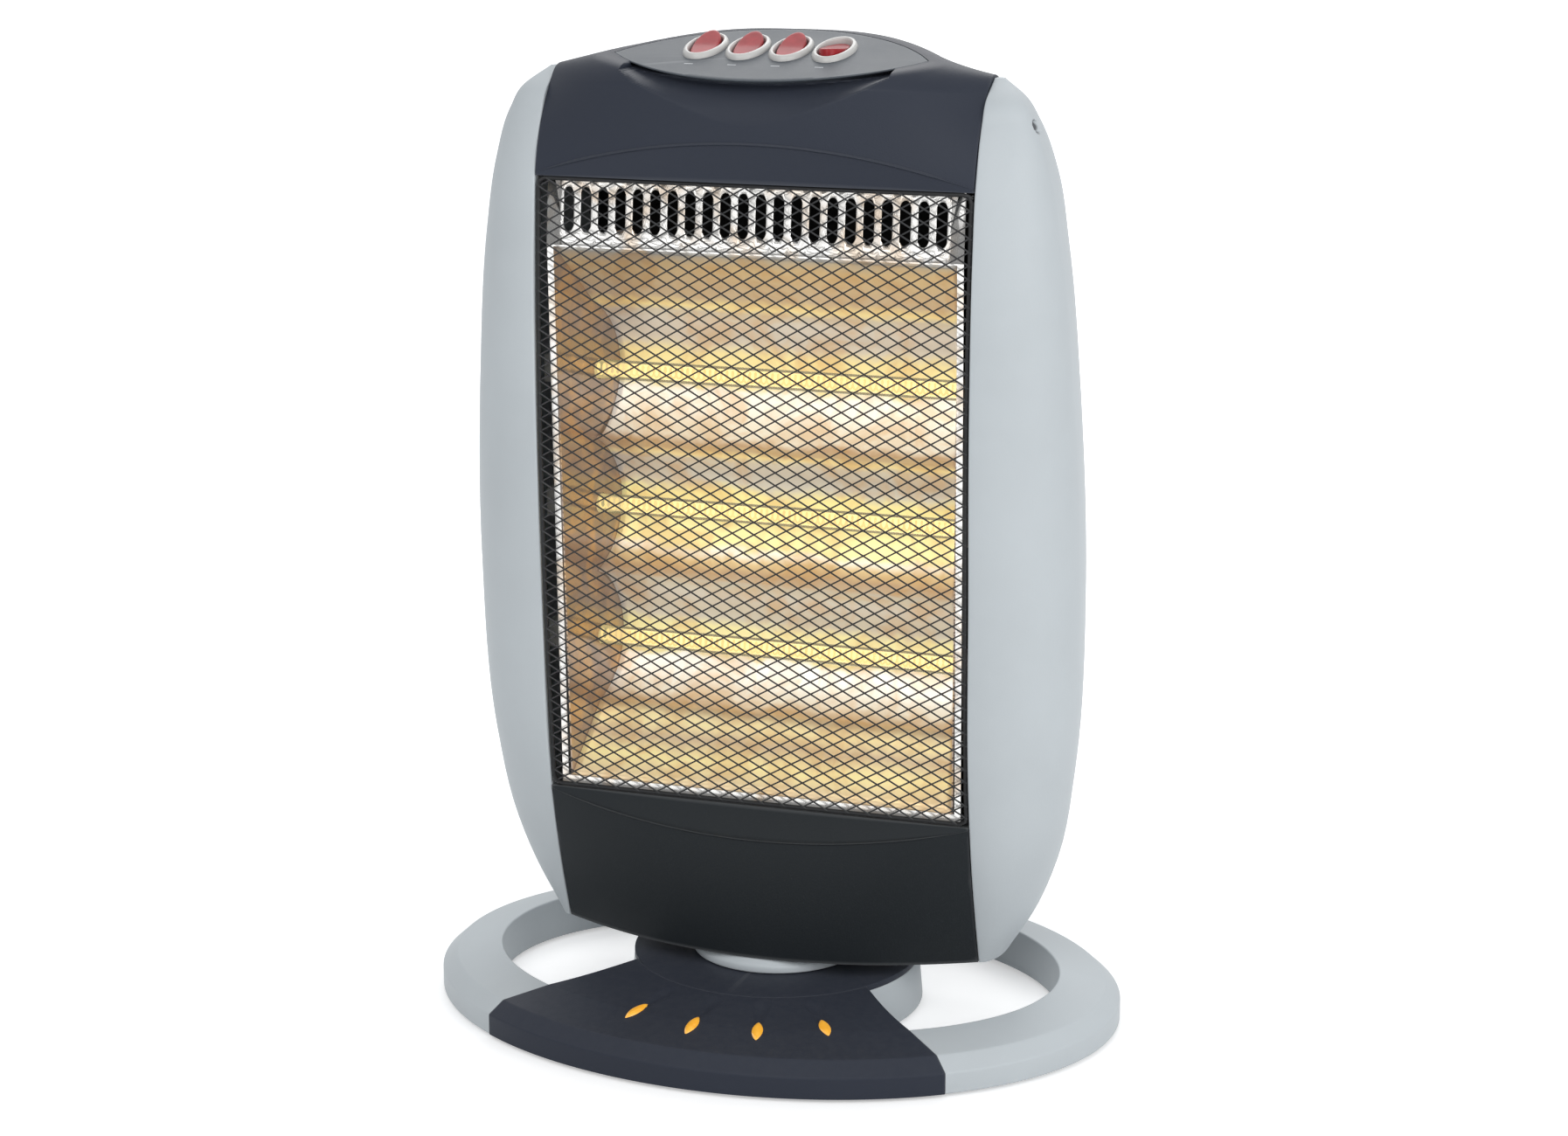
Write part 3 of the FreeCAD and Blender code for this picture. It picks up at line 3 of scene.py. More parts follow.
import bmesh
import bpy
import numpy as np
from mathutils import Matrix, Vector


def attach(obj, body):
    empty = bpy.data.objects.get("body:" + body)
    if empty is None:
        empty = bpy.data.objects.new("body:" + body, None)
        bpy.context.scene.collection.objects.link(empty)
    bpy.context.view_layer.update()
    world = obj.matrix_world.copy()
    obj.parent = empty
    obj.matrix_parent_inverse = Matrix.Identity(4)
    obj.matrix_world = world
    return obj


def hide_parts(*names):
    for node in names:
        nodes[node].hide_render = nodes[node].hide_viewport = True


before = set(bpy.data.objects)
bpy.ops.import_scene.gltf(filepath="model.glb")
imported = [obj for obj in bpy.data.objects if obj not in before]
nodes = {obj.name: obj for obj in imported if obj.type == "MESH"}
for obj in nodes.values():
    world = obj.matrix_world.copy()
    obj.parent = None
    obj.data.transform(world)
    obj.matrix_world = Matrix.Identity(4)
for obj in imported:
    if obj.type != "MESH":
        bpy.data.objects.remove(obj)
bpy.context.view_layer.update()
scene = bpy.context.scene
scene.view_settings.view_transform = "Standard"


# Studio: a white floor and surround with three soft lamps, and the camera where the picture was taken from.
# The surround and the floor show white to the eye and to mirrors, and light the heater at a plain level.
CAMERA_PLACE = (0.4934, -1.4716, 0.6183)
CAMERA_TARGET = (0.0034, 0.0011, 0.2300)
CAMERA_LENS = 72.7
LAMP_TARGET = (0, 0, 0.22)
LAMPS = {  # place, watts, side of the square lamp
    "key_lamp": ((0.05, -1.85, 1.55), 17.0, 1.4),
    "side_lamp": ((1.85, -0.75, 0.95), 15.0, 1.4),
    "back_lamp": ((-0.30, 1.30, 1.60), 12.0, 1.3),
}
WHITE, FILL_COLOUR, FILL_LEVEL = (1, 1, 1, 1), (0.94, 0.97, 1.0, 1), 0.50
SQUARE = np.array([(-1, -1), (1, -1), (1, 1), (-1, 1)])
FLOOR_HALF, FLOOR_COLOUR = 8, (0.84, 0.84, 0.84, 1)
FLOOR_REACH, FLOOR_LIFT = (0.15, 0.75), (0.42, 0.95)  # distances over which its glow grows


def add(tree, kind, inputs=None, **settings):
    """One shader node, its inputs set to values or linked from sockets or nodes."""
    made = tree.nodes.new("ShaderNode" + kind)
    for key, value in settings.items():
        setattr(made, key, value)
    for key, value in (inputs or {}).items():
        value = value.outputs[0] if isinstance(value, bpy.types.Node) else value
        if isinstance(value, bpy.types.NodeSocket):
            tree.links.new(value, made.inputs[key])
        else:
            made.inputs[key].default_value = value
    return made


def where(tree):
    """Place of a point in its object."""
    return add(tree, "TexCoord").outputs["Object"]


def summed(tree, operation, first, second):
    """Outcome of a sum on two numbers."""
    return add(tree, "Math", {0: first, 1: second}, operation=operation).outputs[0]


def ranged(tree, value, to, span=(0.0, 1.0), **settings):
    """Value led from one span to another and held at the ends."""
    ends = {"From Min": span[0], "From Max": span[1], "To Min": to[0], "To Max": to[1]}
    return add(tree, "MapRange", {"Value": value, **ends}, **settings).outputs[0]


def fresh(name):
    """New material and its emptied node tree."""
    made = bpy.data.materials.new(name)
    made.use_nodes = True
    made.node_tree.nodes.clear()
    return made, made.node_tree


def placed(name, data):
    """Object of its data, put into the scene."""
    made = bpy.data.objects.new(name, data)
    scene.collection.objects.link(made)
    return made


def aim(thing, target):
    """Turns a camera or lamp towards a point."""
    thing.rotation_euler = (Vector(target) - thing.location).to_track_quat("-Z", "Y").to_euler()


def seen_directly(tree):
    """1 for rays of the camera, of mirrors and through glass, 0 for the rest."""
    path = add(tree, "LightPath").outputs
    either = summed(tree, "MAXIMUM", path["Is Camera Ray"], path["Is Glossy Ray"])
    return summed(tree, "MAXIMUM", either, path["Is Transmission Ray"])


camera = placed("camera", bpy.data.cameras.new("camera"))
camera.data.lens = CAMERA_LENS
camera.data.sensor_fit = "HORIZONTAL"
camera.location = CAMERA_PLACE
aim(camera, CAMERA_TARGET)
scene.camera = camera

for lamp_name, (place, watts, side) in LAMPS.items():
    lamp = placed(lamp_name, bpy.data.lights.new(lamp_name, "AREA"))
    lamp.data.energy, lamp.data.size = watts, side
    lamp.location = place
    aim(lamp, LAMP_TARGET)

scene.world = bpy.data.worlds.new("white_surround")
scene.world.use_nodes = True
air = scene.world.node_tree
air.nodes.clear()
dim = add(air, "Background", {"Color": FILL_COLOUR, "Strength": FILL_LEVEL})
white = add(air, "Background", {"Color": WHITE, "Strength": 1.0})
both = add(air, "MixShader", {0: seen_directly(air), 1: dim, 2: white})
add(air, "OutputWorld", {"Surface": both})

floor_mesh = bpy.data.meshes.new("floor")
floor_mesh.from_pydata([(x, y, 0) for x, y in (SQUARE * FLOOR_HALF).tolist()], [], [(0, 1, 2, 3)])
floor = placed("floor", floor_mesh)
pale, ground = fresh("pale_floor")
away = add(ground, "VectorMath", {0: where(ground)}, operation="LENGTH").outputs["Value"]
lift = ranged(ground, away, FLOOR_LIFT, FLOOR_REACH, interpolation_type="SMOOTHSTEP")
lifted = summed(ground, "MULTIPLY", seen_directly(ground), lift)
matt = add(ground, "BsdfDiffuse", {"Color": FLOOR_COLOUR})
glow = add(ground, "Emission", {"Color": WHITE, "Strength": lifted})
lit_floor = add(ground, "AddShader", {0: matt, 1: glow})
add(ground, "OutputMaterial", {"Surface": lit_floor})
floor_mesh.materials.append(pale)


# Base ring: one pale silver moulding with an oval rim, a hub drum and a web between them at the back.
# Injection-moulded with a fine spark-eroded grain; it stands on four rubber pads.
RING_HALF, RING_FOOT, RIM_BEVEL, RIM_DECK = (180.0, 135.4), 2.0, 19.5, 24.2
RING_SECTION = [(0, RING_FOOT), (0, 12.7), (7.5, RIM_BEVEL), (31.5, RIM_DECK), (31.5, RING_FOOT)]
RING_FILLET, RING_STATIONS = np.array([[0.8], [0.9], [0.9], [1.4], [0.8]]), 220
FAN_ANGLE = 49.7
DRUM_SECTION, DRUM_FILLET = [(76, 2), (74, 25), (71, 25), (71, 2)], 0.8
WEB_ANGLE, WEB_RADII, WEB_TOP, WEB_FOOT = 28.0, (72.5, 110.0), (24.9, 24.3), 2.2
SILVER, RUBBED_AND_SHEEN, DUST = (0.510, 0.547, 0.568, 1), (0.62, 0.63, 0.64, 1), (0.55, 0.54, 0.52, 1)
CLOUD_SPAN, EDGE_SPAN, LEVEL_SPAN = (0.3, 0.7), (0.52, 0.62), (0.55, 1.0)
SKIN_SOCKETS = {
    "INPUT": {"Colour": "Color", "Grain": "Float", "Depth": "Float", "Dust": "Float", "WearAndSheen": "Float"},
    "OUTPUT": {"Colour": "Color", "Roughness": "Float", "Normal": "Vector"}}
JOIN_REACH, SLIVER = 2e-6, 1e-7


def noise(tree, place, scale, **more):
    """Cloudy noise at a place; more values go to the node."""
    return add(tree, "TexNoise", {"Vector": place, "Scale": scale, **more}).outputs[0]


def mixed(tree, share, first, second):
    """Colour between two."""
    return add(tree, "Mix", {0: share, 6: first, 7: second}, data_type="RGBA").outputs[2]


def scaled(tree, colour, tone):
    """Colour made lighter or darker by a tone."""
    return add(tree, "VectorMath", {0: colour, "Scale": tone}, operation="SCALE").outputs[0]


def bumped(tree, height, strength, distance, **more):
    """Normal of a surface with a fine relief."""
    return add(tree, "Bump", {"Height": height, "Strength": strength, "Distance": distance, **more}).outputs[0]


def principled(tree, **inputs):
    """Surface of a material, with the values and sockets of its shader."""
    shader = add(tree, "BsdfPrincipled", {key.replace("_", " "): value for key, value in inputs.items()})
    add(tree, "OutputMaterial", {"Surface": shader})


def moulded_skin():
    """Group for moulded plastic: cloudy tone, dust on level faces, edges lightened as rubbing wear and painted
    sheen, and fine eroded grain.
    """
    tree = bpy.data.node_groups.new("MouldedSkin", "ShaderNodeTree")
    for way, sockets in SKIN_SOCKETS.items():
        for label, kind in sockets.items():
            tree.interface.new_socket(label, in_out=way, socket_type="NodeSocket" + kind)
    given, out = tree.nodes.new("NodeGroupInput").outputs, tree.nodes.new("NodeGroupOutput").inputs
    place, shape = where(tree), add(tree, "NewGeometry").outputs
    cloud = noise(tree, place, 16.0, Detail=5.0, Roughness=0.55)
    toned = scaled(tree, given["Colour"], ranged(tree, cloud, (0.965, 1.03), CLOUD_SPAN))
    # Convex edges lightened towards a pale grey: rubbing wear, and on the lower panel a painted highlight along
    # the crease.
    edge = ranged(tree, shape["Pointiness"], (0.0, given["WearAndSheen"]), EDGE_SPAN)
    up = add(tree, "SeparateXYZ", {0: shape["Normal"]}).outputs[2]
    specks = noise(tree, place, 240.0, Detail=3.0)
    settled = summed(tree, "MULTIPLY", ranged(tree, up, (0.0, 1.0), LEVEL_SPAN), specks)
    dusty = summed(tree, "MULTIPLY", settled, given["Dust"])
    pores = noise(tree, place, given["Grain"], Detail=2.0)
    found = {"Colour": mixed(tree, dusty, mixed(tree, edge, toned, RUBBED_AND_SHEEN), DUST),
             "Roughness": ranged(tree, cloud, (-0.03, 0.04), CLOUD_SPAN),
             "Normal": bumped(tree, pores, given["Depth"], 0.00025)}
    for label, socket in found.items():
        tree.links.new(socket, out[label])
    return tree


MOULDED = moulded_skin()


def plastic(name, colour, rough, shine=0.5, grain=900.0, depth=0.12, dust=0.05, wear_and_sheen=0.10, **extra):
    """Moulded plastic with its colour, gloss and grain; extra values go to the shader."""
    made, tree = fresh(name)
    values = {"Colour": colour, "Grain": grain, "Depth": depth, "Dust": dust, "WearAndSheen": wear_and_sheen}
    skin = add(tree, "Group", values, node_tree=MOULDED).outputs
    gloss = summed(tree, "ADD", skin["Roughness"], rough)
    principled(tree, Base_Color=skin["Colour"], Roughness=gloss, Normal=skin["Normal"],
               Specular_IOR_Level=shine, **extra)
    return made


def joined(*axes):
    """Points of their coordinates, all spread to one shape."""
    return np.stack(np.broadcast_arrays(*axes), -1)


def norms(rows):
    """Length of each row's vector."""
    return np.linalg.norm(rows, axis=1, keepdims=True)


def lengths(line):
    """Distance of each point along a line."""
    return np.append(0, np.cumsum(norms(np.diff(line, axis=0))))


def circle(steps):
    """Even angles once round."""
    return np.linspace(0, 2 * np.pi, steps, endpoint=False)


def rounded(corners, reach, steps=4, most=0.45):
    """Closed outline with its corners curved from the reach, or at most a share, along both sides."""
    corner = np.array(corners, float)
    ends = []
    for shift in (1, -1):
        way = np.roll(corner, shift, 0) - corner
        length = norms(way)
        ends.append(corner + way / length * np.minimum(reach, most * length))
    s = np.linspace(0, 1, steps)[None, :, None]
    curve = (1 - s) ** 2 * ends[0][:, None] + 2 * s * (1 - s) * corner[:, None] + s * s * ends[1][:, None]
    return curve.reshape(-1, corner.shape[1])


def weave(grid, close_columns=False, close_rows=False):
    """Points of a grid with the quads between them, closed over either way if asked."""
    index = np.arange(grid.shape[0] * grid.shape[1]).reshape(grid.shape[:2])
    if close_rows:
        index = np.vstack([index, index[:1]])
    if close_columns:
        index = np.hstack([index, index[:, :1]])
    quads = np.stack([index[:-1, :-1], index[1:, :-1], index[1:, 1:], index[:-1, 1:]], -1)
    return grid.reshape(-1, 3), quads.reshape(-1, 4)


def capped(grid, open_side=False):
    """Grid with its end rows shrunk to their middles, or to the middle of their open side."""
    middles = [(row[0] + row[-1]) / 2 if open_side else row.mean(0) for row in (grid[0], grid[-1])]
    ends = [np.broadcast_to(middle, grid[:1].shape) for middle in middles]
    return np.concatenate([ends[0], grid, ends[1]])


def solid(loops):
    """Closed surface over a row of loops, shut at both ends."""
    return weave(capped(np.array(loops)), True)


def mesh_of(name, *surfaces):
    """Mesh from surfaces of points in millimetres and quads."""
    points = np.concatenate([p for p, _ in surfaces]) * 0.001
    starts = np.cumsum([0] + [len(p) for p, _ in surfaces[:-1]])
    quads = np.concatenate([q + start for (_, q), start in zip(surfaces, starts)])
    mesh = bpy.data.meshes.new(name)
    mesh.from_pydata(points.tolist(), [], quads.tolist())
    return mesh


def clean(mesh, slivers):
    """Joins doubled points, dissolves slivers if asked, and turns all faces outward."""
    shape = bmesh.new()
    shape.from_mesh(mesh)
    bmesh.ops.remove_doubles(shape, verts=shape.verts, dist=JOIN_REACH)
    if slivers:
        bmesh.ops.dissolve_degenerate(shape, edges=shape.edges, dist=SLIVER)
    bmesh.ops.recalc_face_normals(shape, faces=shape.faces)
    shape.to_mesh(mesh)
    shape.free()


def settle(name, form, material, replaced="", sharp=35.0, body="head"):
    """Object of surfaces or of a mesh: smooth between sharp edges, painted, riding on its body."""
    mesh = form if isinstance(form, bpy.types.Mesh) else mesh_of(name, *form)
    clean(mesh, True)
    mesh.shade_smooth()
    mesh.set_sharp_from_angle(angle=math.radians(sharp))
    mesh.materials.clear()
    mesh.materials.append(material)
    made = placed(name, mesh)
    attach(made, body)
    if replaced:
        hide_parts(replaced)
    return made


def lathe(section, fillet):
    """Rounded section of radii and heights turned about the swivel axis."""
    r, z = np.hsplit(rounded(section, fillet), 2)
    t = circle(128)[None]
    return weave(joined(r * np.cos(t), r * np.sin(t), z), True, True)


def rim_sweep():
    """Section led round the oval from one flank of the front cover to the other."""
    section = rounded(RING_SECTION, RING_FILLET, 5)
    a, b = RING_HALF[0] - section[:, :1], RING_HALF[1] - section[:, :1]
    start = math.radians(FAN_ANGLE - 90.0)
    first = np.arctan2(a * math.sin(start), b * math.cos(start))
    t = first + (np.pi - 2 * first) * np.linspace(0, 1, RING_STATIONS)[None]
    grid = joined(a * np.cos(t), b * np.sin(t), section[:, 1:])
    return solid(grid.transpose(1, 0, 2))


def web_block():
    """Fan-shaped web behind the drum, its top falling to the rim."""
    turn = np.radians(np.linspace(-WEB_ANGLE, WEB_ANGLE, 25))
    across = np.concatenate([turn, turn[::-1]])[None]
    r, top = [np.linspace(*ends, 9)[:, None] for ends in (WEB_RADII, WEB_TOP)]
    z = np.where(np.arange(across.size)[None] < turn.size, top, WEB_FOOT)
    return solid(joined(r * np.sin(across), r * np.cos(across), z))


silver = plastic("silver_plastic", SILVER, 0.50, 0.3)
settle("base_ring_skin", [rim_sweep(), lathe(DRUM_SECTION, DRUM_FILLET), web_block()],
       silver, "base_ring", body="base")


# Front cover: charcoal fan clipped between the rim's ends, carrying on its bevel and climbing to the hub.
# Moulded and hollow underneath; shallow tapered grooves run from its four leaf lights towards the hub.
HUB_EDGE, HUB_TOP = 74.3, 28.0
FAN_ROWS = np.array([(RING_HALF[0] - inset, RING_HALF[1] - inset, z) for inset, z in RING_SECTION[:4]]
                    + [(HUB_EDGE, HUB_EDGE, HUB_TOP)])
BEVEL_OVAL, DECK_OVAL = FAN_ROWS[2, :2], FAN_ROWS[3, :2]
FAN_STEPS, FAN_COLUMNS, FAN_EASE, FAN_GAP = (5, 8, 14, 60), 361, 0.8, 0.12
FAN_FLARE, FLARE_FROM, FLARE_TO = 9.0, 129.0, 71.0
LEAF_ANGLES = 4.5 + 17.7 * np.array([-1.5, -0.5, 0.5, 1.5])
GROOVE_DEPTH, GROOVE_INSET, GROOVE_END, GROOVE_WIDTH, GROOVE_POWER = 1.1, 2.0, 80.0, (0.6, 3.4), 0.7
GROOVE_FADE = (8, 3)  # how fast a groove begins and ends
CHARCOAL = (0.0260, 0.0310, 0.0450, 1)


def polar_reach(a, b, turn):
    """Distance from the middle to an oval, at an angle from the front."""
    return 1 / np.hypot(np.sin(turn) / a, np.cos(turn) / b)


def softened(rows, steps, reach):
    """Rows between corner rows, each inner corner eased by a running mean over the reach."""
    stations = lengths(rows)
    spans = zip(stations, stations[1:], steps)
    even = [np.linspace(first, last, count, endpoint=False) for first, last, count in spans]
    corners = (stations[1:-1, None] + np.linspace(-reach, reach, 9)).ravel()
    s = np.sort(np.concatenate([*even, stations[-1:], corners]))
    window = np.linspace(-reach, reach, 21)
    near = np.clip(s[:, None] + window, stations[0], stations[-1])
    eased = joined(*[np.interp(near, stations, column).mean(1) for column in rows.T])
    plain = joined(*[np.interp(s, stations, column) for column in rows.T])
    ends = (s < reach) | (s > stations[-1] - reach)
    return np.where(ends[:, None], plain, eased)


def fan_cover():
    """Ovals from the floor to the hub, cut off at the spread flanks, with grooves in the deck."""
    rows = softened(FAN_ROWS, FAN_STEPS, FAN_EASE)
    a, b, z = np.hsplit(rows, 3)
    flank = math.radians(FAN_ANGLE - FAN_GAP)
    reach = polar_reach(a, b, flank)
    spread = FAN_FLARE * np.clip((FLARE_FROM - reach) / (FLARE_FROM - FLARE_TO), 0, 1) ** 2
    turn = (flank + np.arctan(spread / reach)) * np.linspace(-1, 1, FAN_COLUMNS)[None]
    r, inner = polar_reach(a, b, turn), polar_reach(*DECK_OVAL, turn)
    along = np.clip((inner - GROOVE_INSET - r) / (inner - GROOVE_END), 0, 1)
    wide = np.radians(GROOVE_WIDTH[0] + GROOVE_WIDTH[1] * along)
    off = np.abs(turn[..., None] - np.radians(LEAF_ANGLES)).min(-1)
    fade = np.minimum(along * GROOVE_FADE[0], 1) * np.clip((1 - along) * GROOVE_FADE[1], 0, 1)
    dip = np.clip(1 - off / wide, 0, 1) ** GROOVE_POWER * fade * GROOVE_DEPTH
    top = joined(r * np.sin(turn), -r * np.cos(turn), z - dip)
    under = top * (1, 1, 0) + (0, 0, RING_FOOT)
    walls = [(top[:, 0], under[:, 0]), (top[:, -1], under[:, -1]), (top[-1], under[-1])]
    return [weave(top)] + [weave(np.stack(wall)) for wall in walls]


charcoal = plastic("charcoal_plastic", CHARCOAL, 0.50, 0.18, grain=1100.0, depth=0.22, dust=0.03, wear_and_sheen=0.08)
settle("front_cover_skin", fan_cover(), charcoal, "base_front_cover", 28, "base")


# Amber leaves: four amber lenses set in the front cover, with a painted glow in their own colour.
# Cast in clear amber acrylic, domed, and pressed into leaf-shaped holes along the radii.
LEAF_RADIUS, LEAF_HALF, LEAF_WIDE, LEAF_DOME, LEAF_SUNK = 107.5, 8.5, 3.0, 1.5, 0.35
AMBER = ((0.86, 0.36, 0.02, 1), (0.95, 0.50, 0.06, 1))


def deck_height(r, turn):
    """Height of the cover's deck at a distance from the middle and an angle from the front."""
    inner, bevel = polar_reach(*DECK_OVAL, turn), polar_reach(*BEVEL_OVAL, turn)
    climb = HUB_TOP + (RIM_DECK - HUB_TOP) * (r - HUB_EDGE) / (inner - HUB_EDGE)
    return np.where(r < inner, climb, RIM_DECK + (RIM_BEVEL - RIM_DECK) * (r - inner) / (bevel - inner))


def leaf_dome(angle):
    """Leaf between two arcs, domed along and across, its edge just sunk into the deck."""
    u, v = np.meshgrid(np.linspace(-1, 1, 33), np.linspace(-1, 1, 13), indexing="ij")
    out, side = LEAF_RADIUS + LEAF_HALF * u, LEAF_WIDE * (1 - u ** 2) * v
    turn = math.radians(angle)
    x = out * math.sin(turn) + side * math.cos(turn)
    y = -out * math.cos(turn) + side * math.sin(turn)
    dome = LEAF_DOME * (1 - v ** 2) ** 0.6 * (1 - u ** 4)
    return weave(joined(x, y, deck_height(np.hypot(x, y), np.arctan2(x, -y)) - LEAF_SUNK + dome))


def acrylic(name, scale, tones, glow, **gloss):
    """Clear cast plastic, mottled between two tones and given a little glow in its own colour."""
    made, tree = fresh(name)
    tone = mixed(tree, noise(tree, where(tree), scale, Detail=2.0), *tones)
    principled(tree, Base_Color=tone, Emission_Color=tone, Emission_Strength=glow, **gloss)
    return made


# Painted light: the amber leaves glow in their own colour.
amber = acrylic("amber_acrylic", 300.0, AMBER, 0.34, Roughness=0.12, Coat_Weight=0.6)
settle("amber_leaves_painted_glow", [leaf_dome(angle) for angle in LEAF_ANGLES], amber, "amber_markers",
       body="base")


# Hub: charcoal lid snapped on the drum, a silver turntable collar above it, and the fittings inside the drum.
# Lid and collar are moulded and turn on a nylon washer; plate, tube and nut are zinc-plated steel.
LID_SECTION, LID_FILLET = [(24.4, 25), (74, 25), (74, 28), (24.4, 28)], 0.35
COLLAR_SECTION, COLLAR_FILLET = [(24.2, 28.4), (43.5, 28.4), (43.5, 31.9), (40.5, 35.3), (24.2, 35.3)], 1.0


def drawn(tree, stretch, scale, detail):
    """Noise stretched along an axis, like the lines that rolling and drawing leave."""
    place = add(tree, "Mapping", {"Vector": where(tree), "Scale": stretch})
    return noise(tree, place, scale, Detail=detail)


def metal(name, colour, rough, stretch=(1, 1, 1)):
    """Bare metal with drawn or rolled streaks that stretch along one axis."""
    made, tree = fresh(name)
    lines = drawn(tree, stretch, 500.0, 4.0)
    tinted = scaled(tree, colour, ranged(tree, lines, (0.88, 1.08)))
    gloss = ranged(tree, lines, (rough - 0.06, rough + 0.08))
    principled(tree, Base_Color=tinted, Metallic=1.0, Roughness=gloss, Normal=bumped(tree, lines, 0.1, 0.0002))
    return made


def paint(material, finish, *names):
    """Finish for CAD pieces that are shown as they are."""
    for name in names:
        piece = nodes[name]
        piece.data.materials.clear()
        piece.data.materials.append(material)


settle("hub_lid_skin", [lathe(LID_SECTION, LID_FILLET)], charcoal, "hub_lid", body="base")
settle("collar_skin", [lathe(COLLAR_SECTION, COLLAR_FILLET)], silver, "swivel_collar")
rubber = plastic("black_rubber", (0.012, 0.012, 0.012, 1), 0.75, grain=1600.0, depth=0.3, dust=0.1)
nylon = plastic("white_nylon", (0.72, 0.71, 0.66, 1), 0.5, dust=0.0, Subsurface_Weight=0.1)
black = plastic("black_plastic", (0.016, 0.016, 0.017, 1), 0.45, dust=0.0)
zinc = metal("zinc_steel", (0.62, 0.64, 0.66), 0.32, (1, 1, 0.2))
paint(rubber, "black_rubber", "rubber_foot_front_left", "rubber_foot_front_right", "rubber_foot_rear_left",
      "rubber_foot_rear_right", "cord_inlet")
paint(nylon, "nylon", "thrust_washer", "crank_disc", "plunger_guide", "tip_plunger")
paint(black, "black_plastic", "tip_switch", "switch_bodies")
paint(zinc, "zinc_steel", "hub_bottom_plate", "pivot_tube", "pivot_nut", "oscillation_motor", "oscillation_arm",
      "head_floor", "thermal_cutout", "lamp_rails", "shell_screws")


# Side shells: two tall silver half-bodies that close the head from the seams out, screwed on near the top.
# Thin moulded bowls with a rolled lip along the seam and a sunk screw hole in each flank.
OUTLINE = np.array([  # height, front seam, rear seam, half width and widest line, in thousandths
    (0, -188, 289, 759, 447), (50, -259, 328, 844, 468), (120, -346, 370, 921, 482), (220, -427, 411, 970, 460),
    (440, -476, 477, 997, 387), (660, -508, 477, 970, 349), (820, -489, 405, 929, 325),
    (900, -447, 348, 891, 298), (955, -364, 176, 842, 260), (980, -298, 69, 801, 230),
    (1000, -151, -87, 732, 200)]) / 1000
HEAD_FOOT, HEAD_RISE, HEAD_HALF, HEAD_DEPTH, HEAD_SET = 35.6, 443.9, 158.5, 109.0, 9.5
SHELL_EDGE, LIP_ROLL, LIP_RETURN = 111.15, 1.1, 5.0
SCREW_PLACE, SCREW_HOLE, SCREW_SINK, SCREW_EASE, SCREW_OUT = (-15.0, 458.0), 3.3, 3.0, 0.7, 4
SCREW_ROWS, SCREW_COLUMNS = (-6, 6, 33), (-0.66, -0.2, 60)  # finer grid round the hole
# colour, share and fade of the painted shade inside the screw holes
HOLE_SHADE, HOLE_SHADE_SHARE, HOLE_SHADE_FADE = (0.03, 0.03, 0.035, 1), 0.85, (-0.3, 0.4)


def outline_at(share, column):
    """Cubic curve through a column of the outline, with slopes taken from the neighbouring knots."""
    knots, values = OUTLINE[:, 0], OUTLINE[:, column]
    slope = np.gradient(values, knots)
    k = np.clip(np.searchsorted(knots, share, side="right") - 1, 0, len(knots) - 2)
    step = knots[k + 1] - knots[k]
    t = (share - knots[k]) / step
    return ((1 + 2 * t) * (1 - t) ** 2 * values[k] + t * (1 - t) ** 2 * step * slope[k]
            + t * t * (3 - 2 * t) * values[k + 1] + t * t * (t - 1) * step * slope[k + 1])


def shell_bowl(side):
    """Level quarter ovals from the front seam over the widest line to the rear seam, rolled in at both."""
    fine = (SCREW_PLACE[1] - HEAD_FOOT + np.linspace(*SCREW_ROWS)) / HEAD_RISE
    foot, crown = 1 - np.cos(np.linspace(0, np.pi / 2, 40)), 1 - np.linspace(0, 1, 110) ** 2.2
    share = np.clip(np.unique(np.concatenate([foot, crown, fine])), 0, 1)
    front, rear, half, line = [outline_at(share, k)[:, None] for k in (1, 2, 3, 4)]
    front, rear = HEAD_SET + HEAD_DEPTH * front, HEAD_SET + HEAD_DEPTH * rear
    widest, reach = front + line * (rear - front), half * HEAD_HALF - SHELL_EDGE
    limit = np.arccos(np.clip(LIP_ROLL / reach, 0, 1))
    turn = limit * np.unique(np.concatenate([np.linspace(-1, 1, 73), np.linspace(*SCREW_COLUMNS)]))[None]
    x = SHELL_EDGE + reach * np.cos(turn)
    y = widest + np.where(turn > 0, rear - widest, widest - front) * np.sin(turn)
    s = np.linspace(0.15, 1, 7)[None]
    roll_x = np.append(SHELL_EDGE + LIP_ROLL * (1 - s) ** 2, [[SHELL_EDGE]], 1) + 0 * widest
    roll_y = np.append(LIP_ROLL * s ** 2, [[LIP_RETURN]], 1) * np.minimum(1, (rear - front) / (4 * LIP_RETURN))
    x = np.concatenate([roll_x[:, ::-1], x, roll_x], 1)
    y = np.concatenate([(front + roll_y)[:, ::-1], y, rear - roll_y], 1)
    z = HEAD_FOOT + HEAD_RISE * share[:, None]
    off = np.hypot(y - SCREW_PLACE[0], z - SCREW_PLACE[1])
    hole = np.clip((SCREW_HOLE + SCREW_EASE / 2 - off) / SCREW_EASE, 0, 1)
    x = x - SCREW_SINK * hole ** 2 * (3 - 2 * hole) * (x > SHELL_EDGE + SCREW_OUT)
    return weave(capped(joined(side * x, y, z), True))


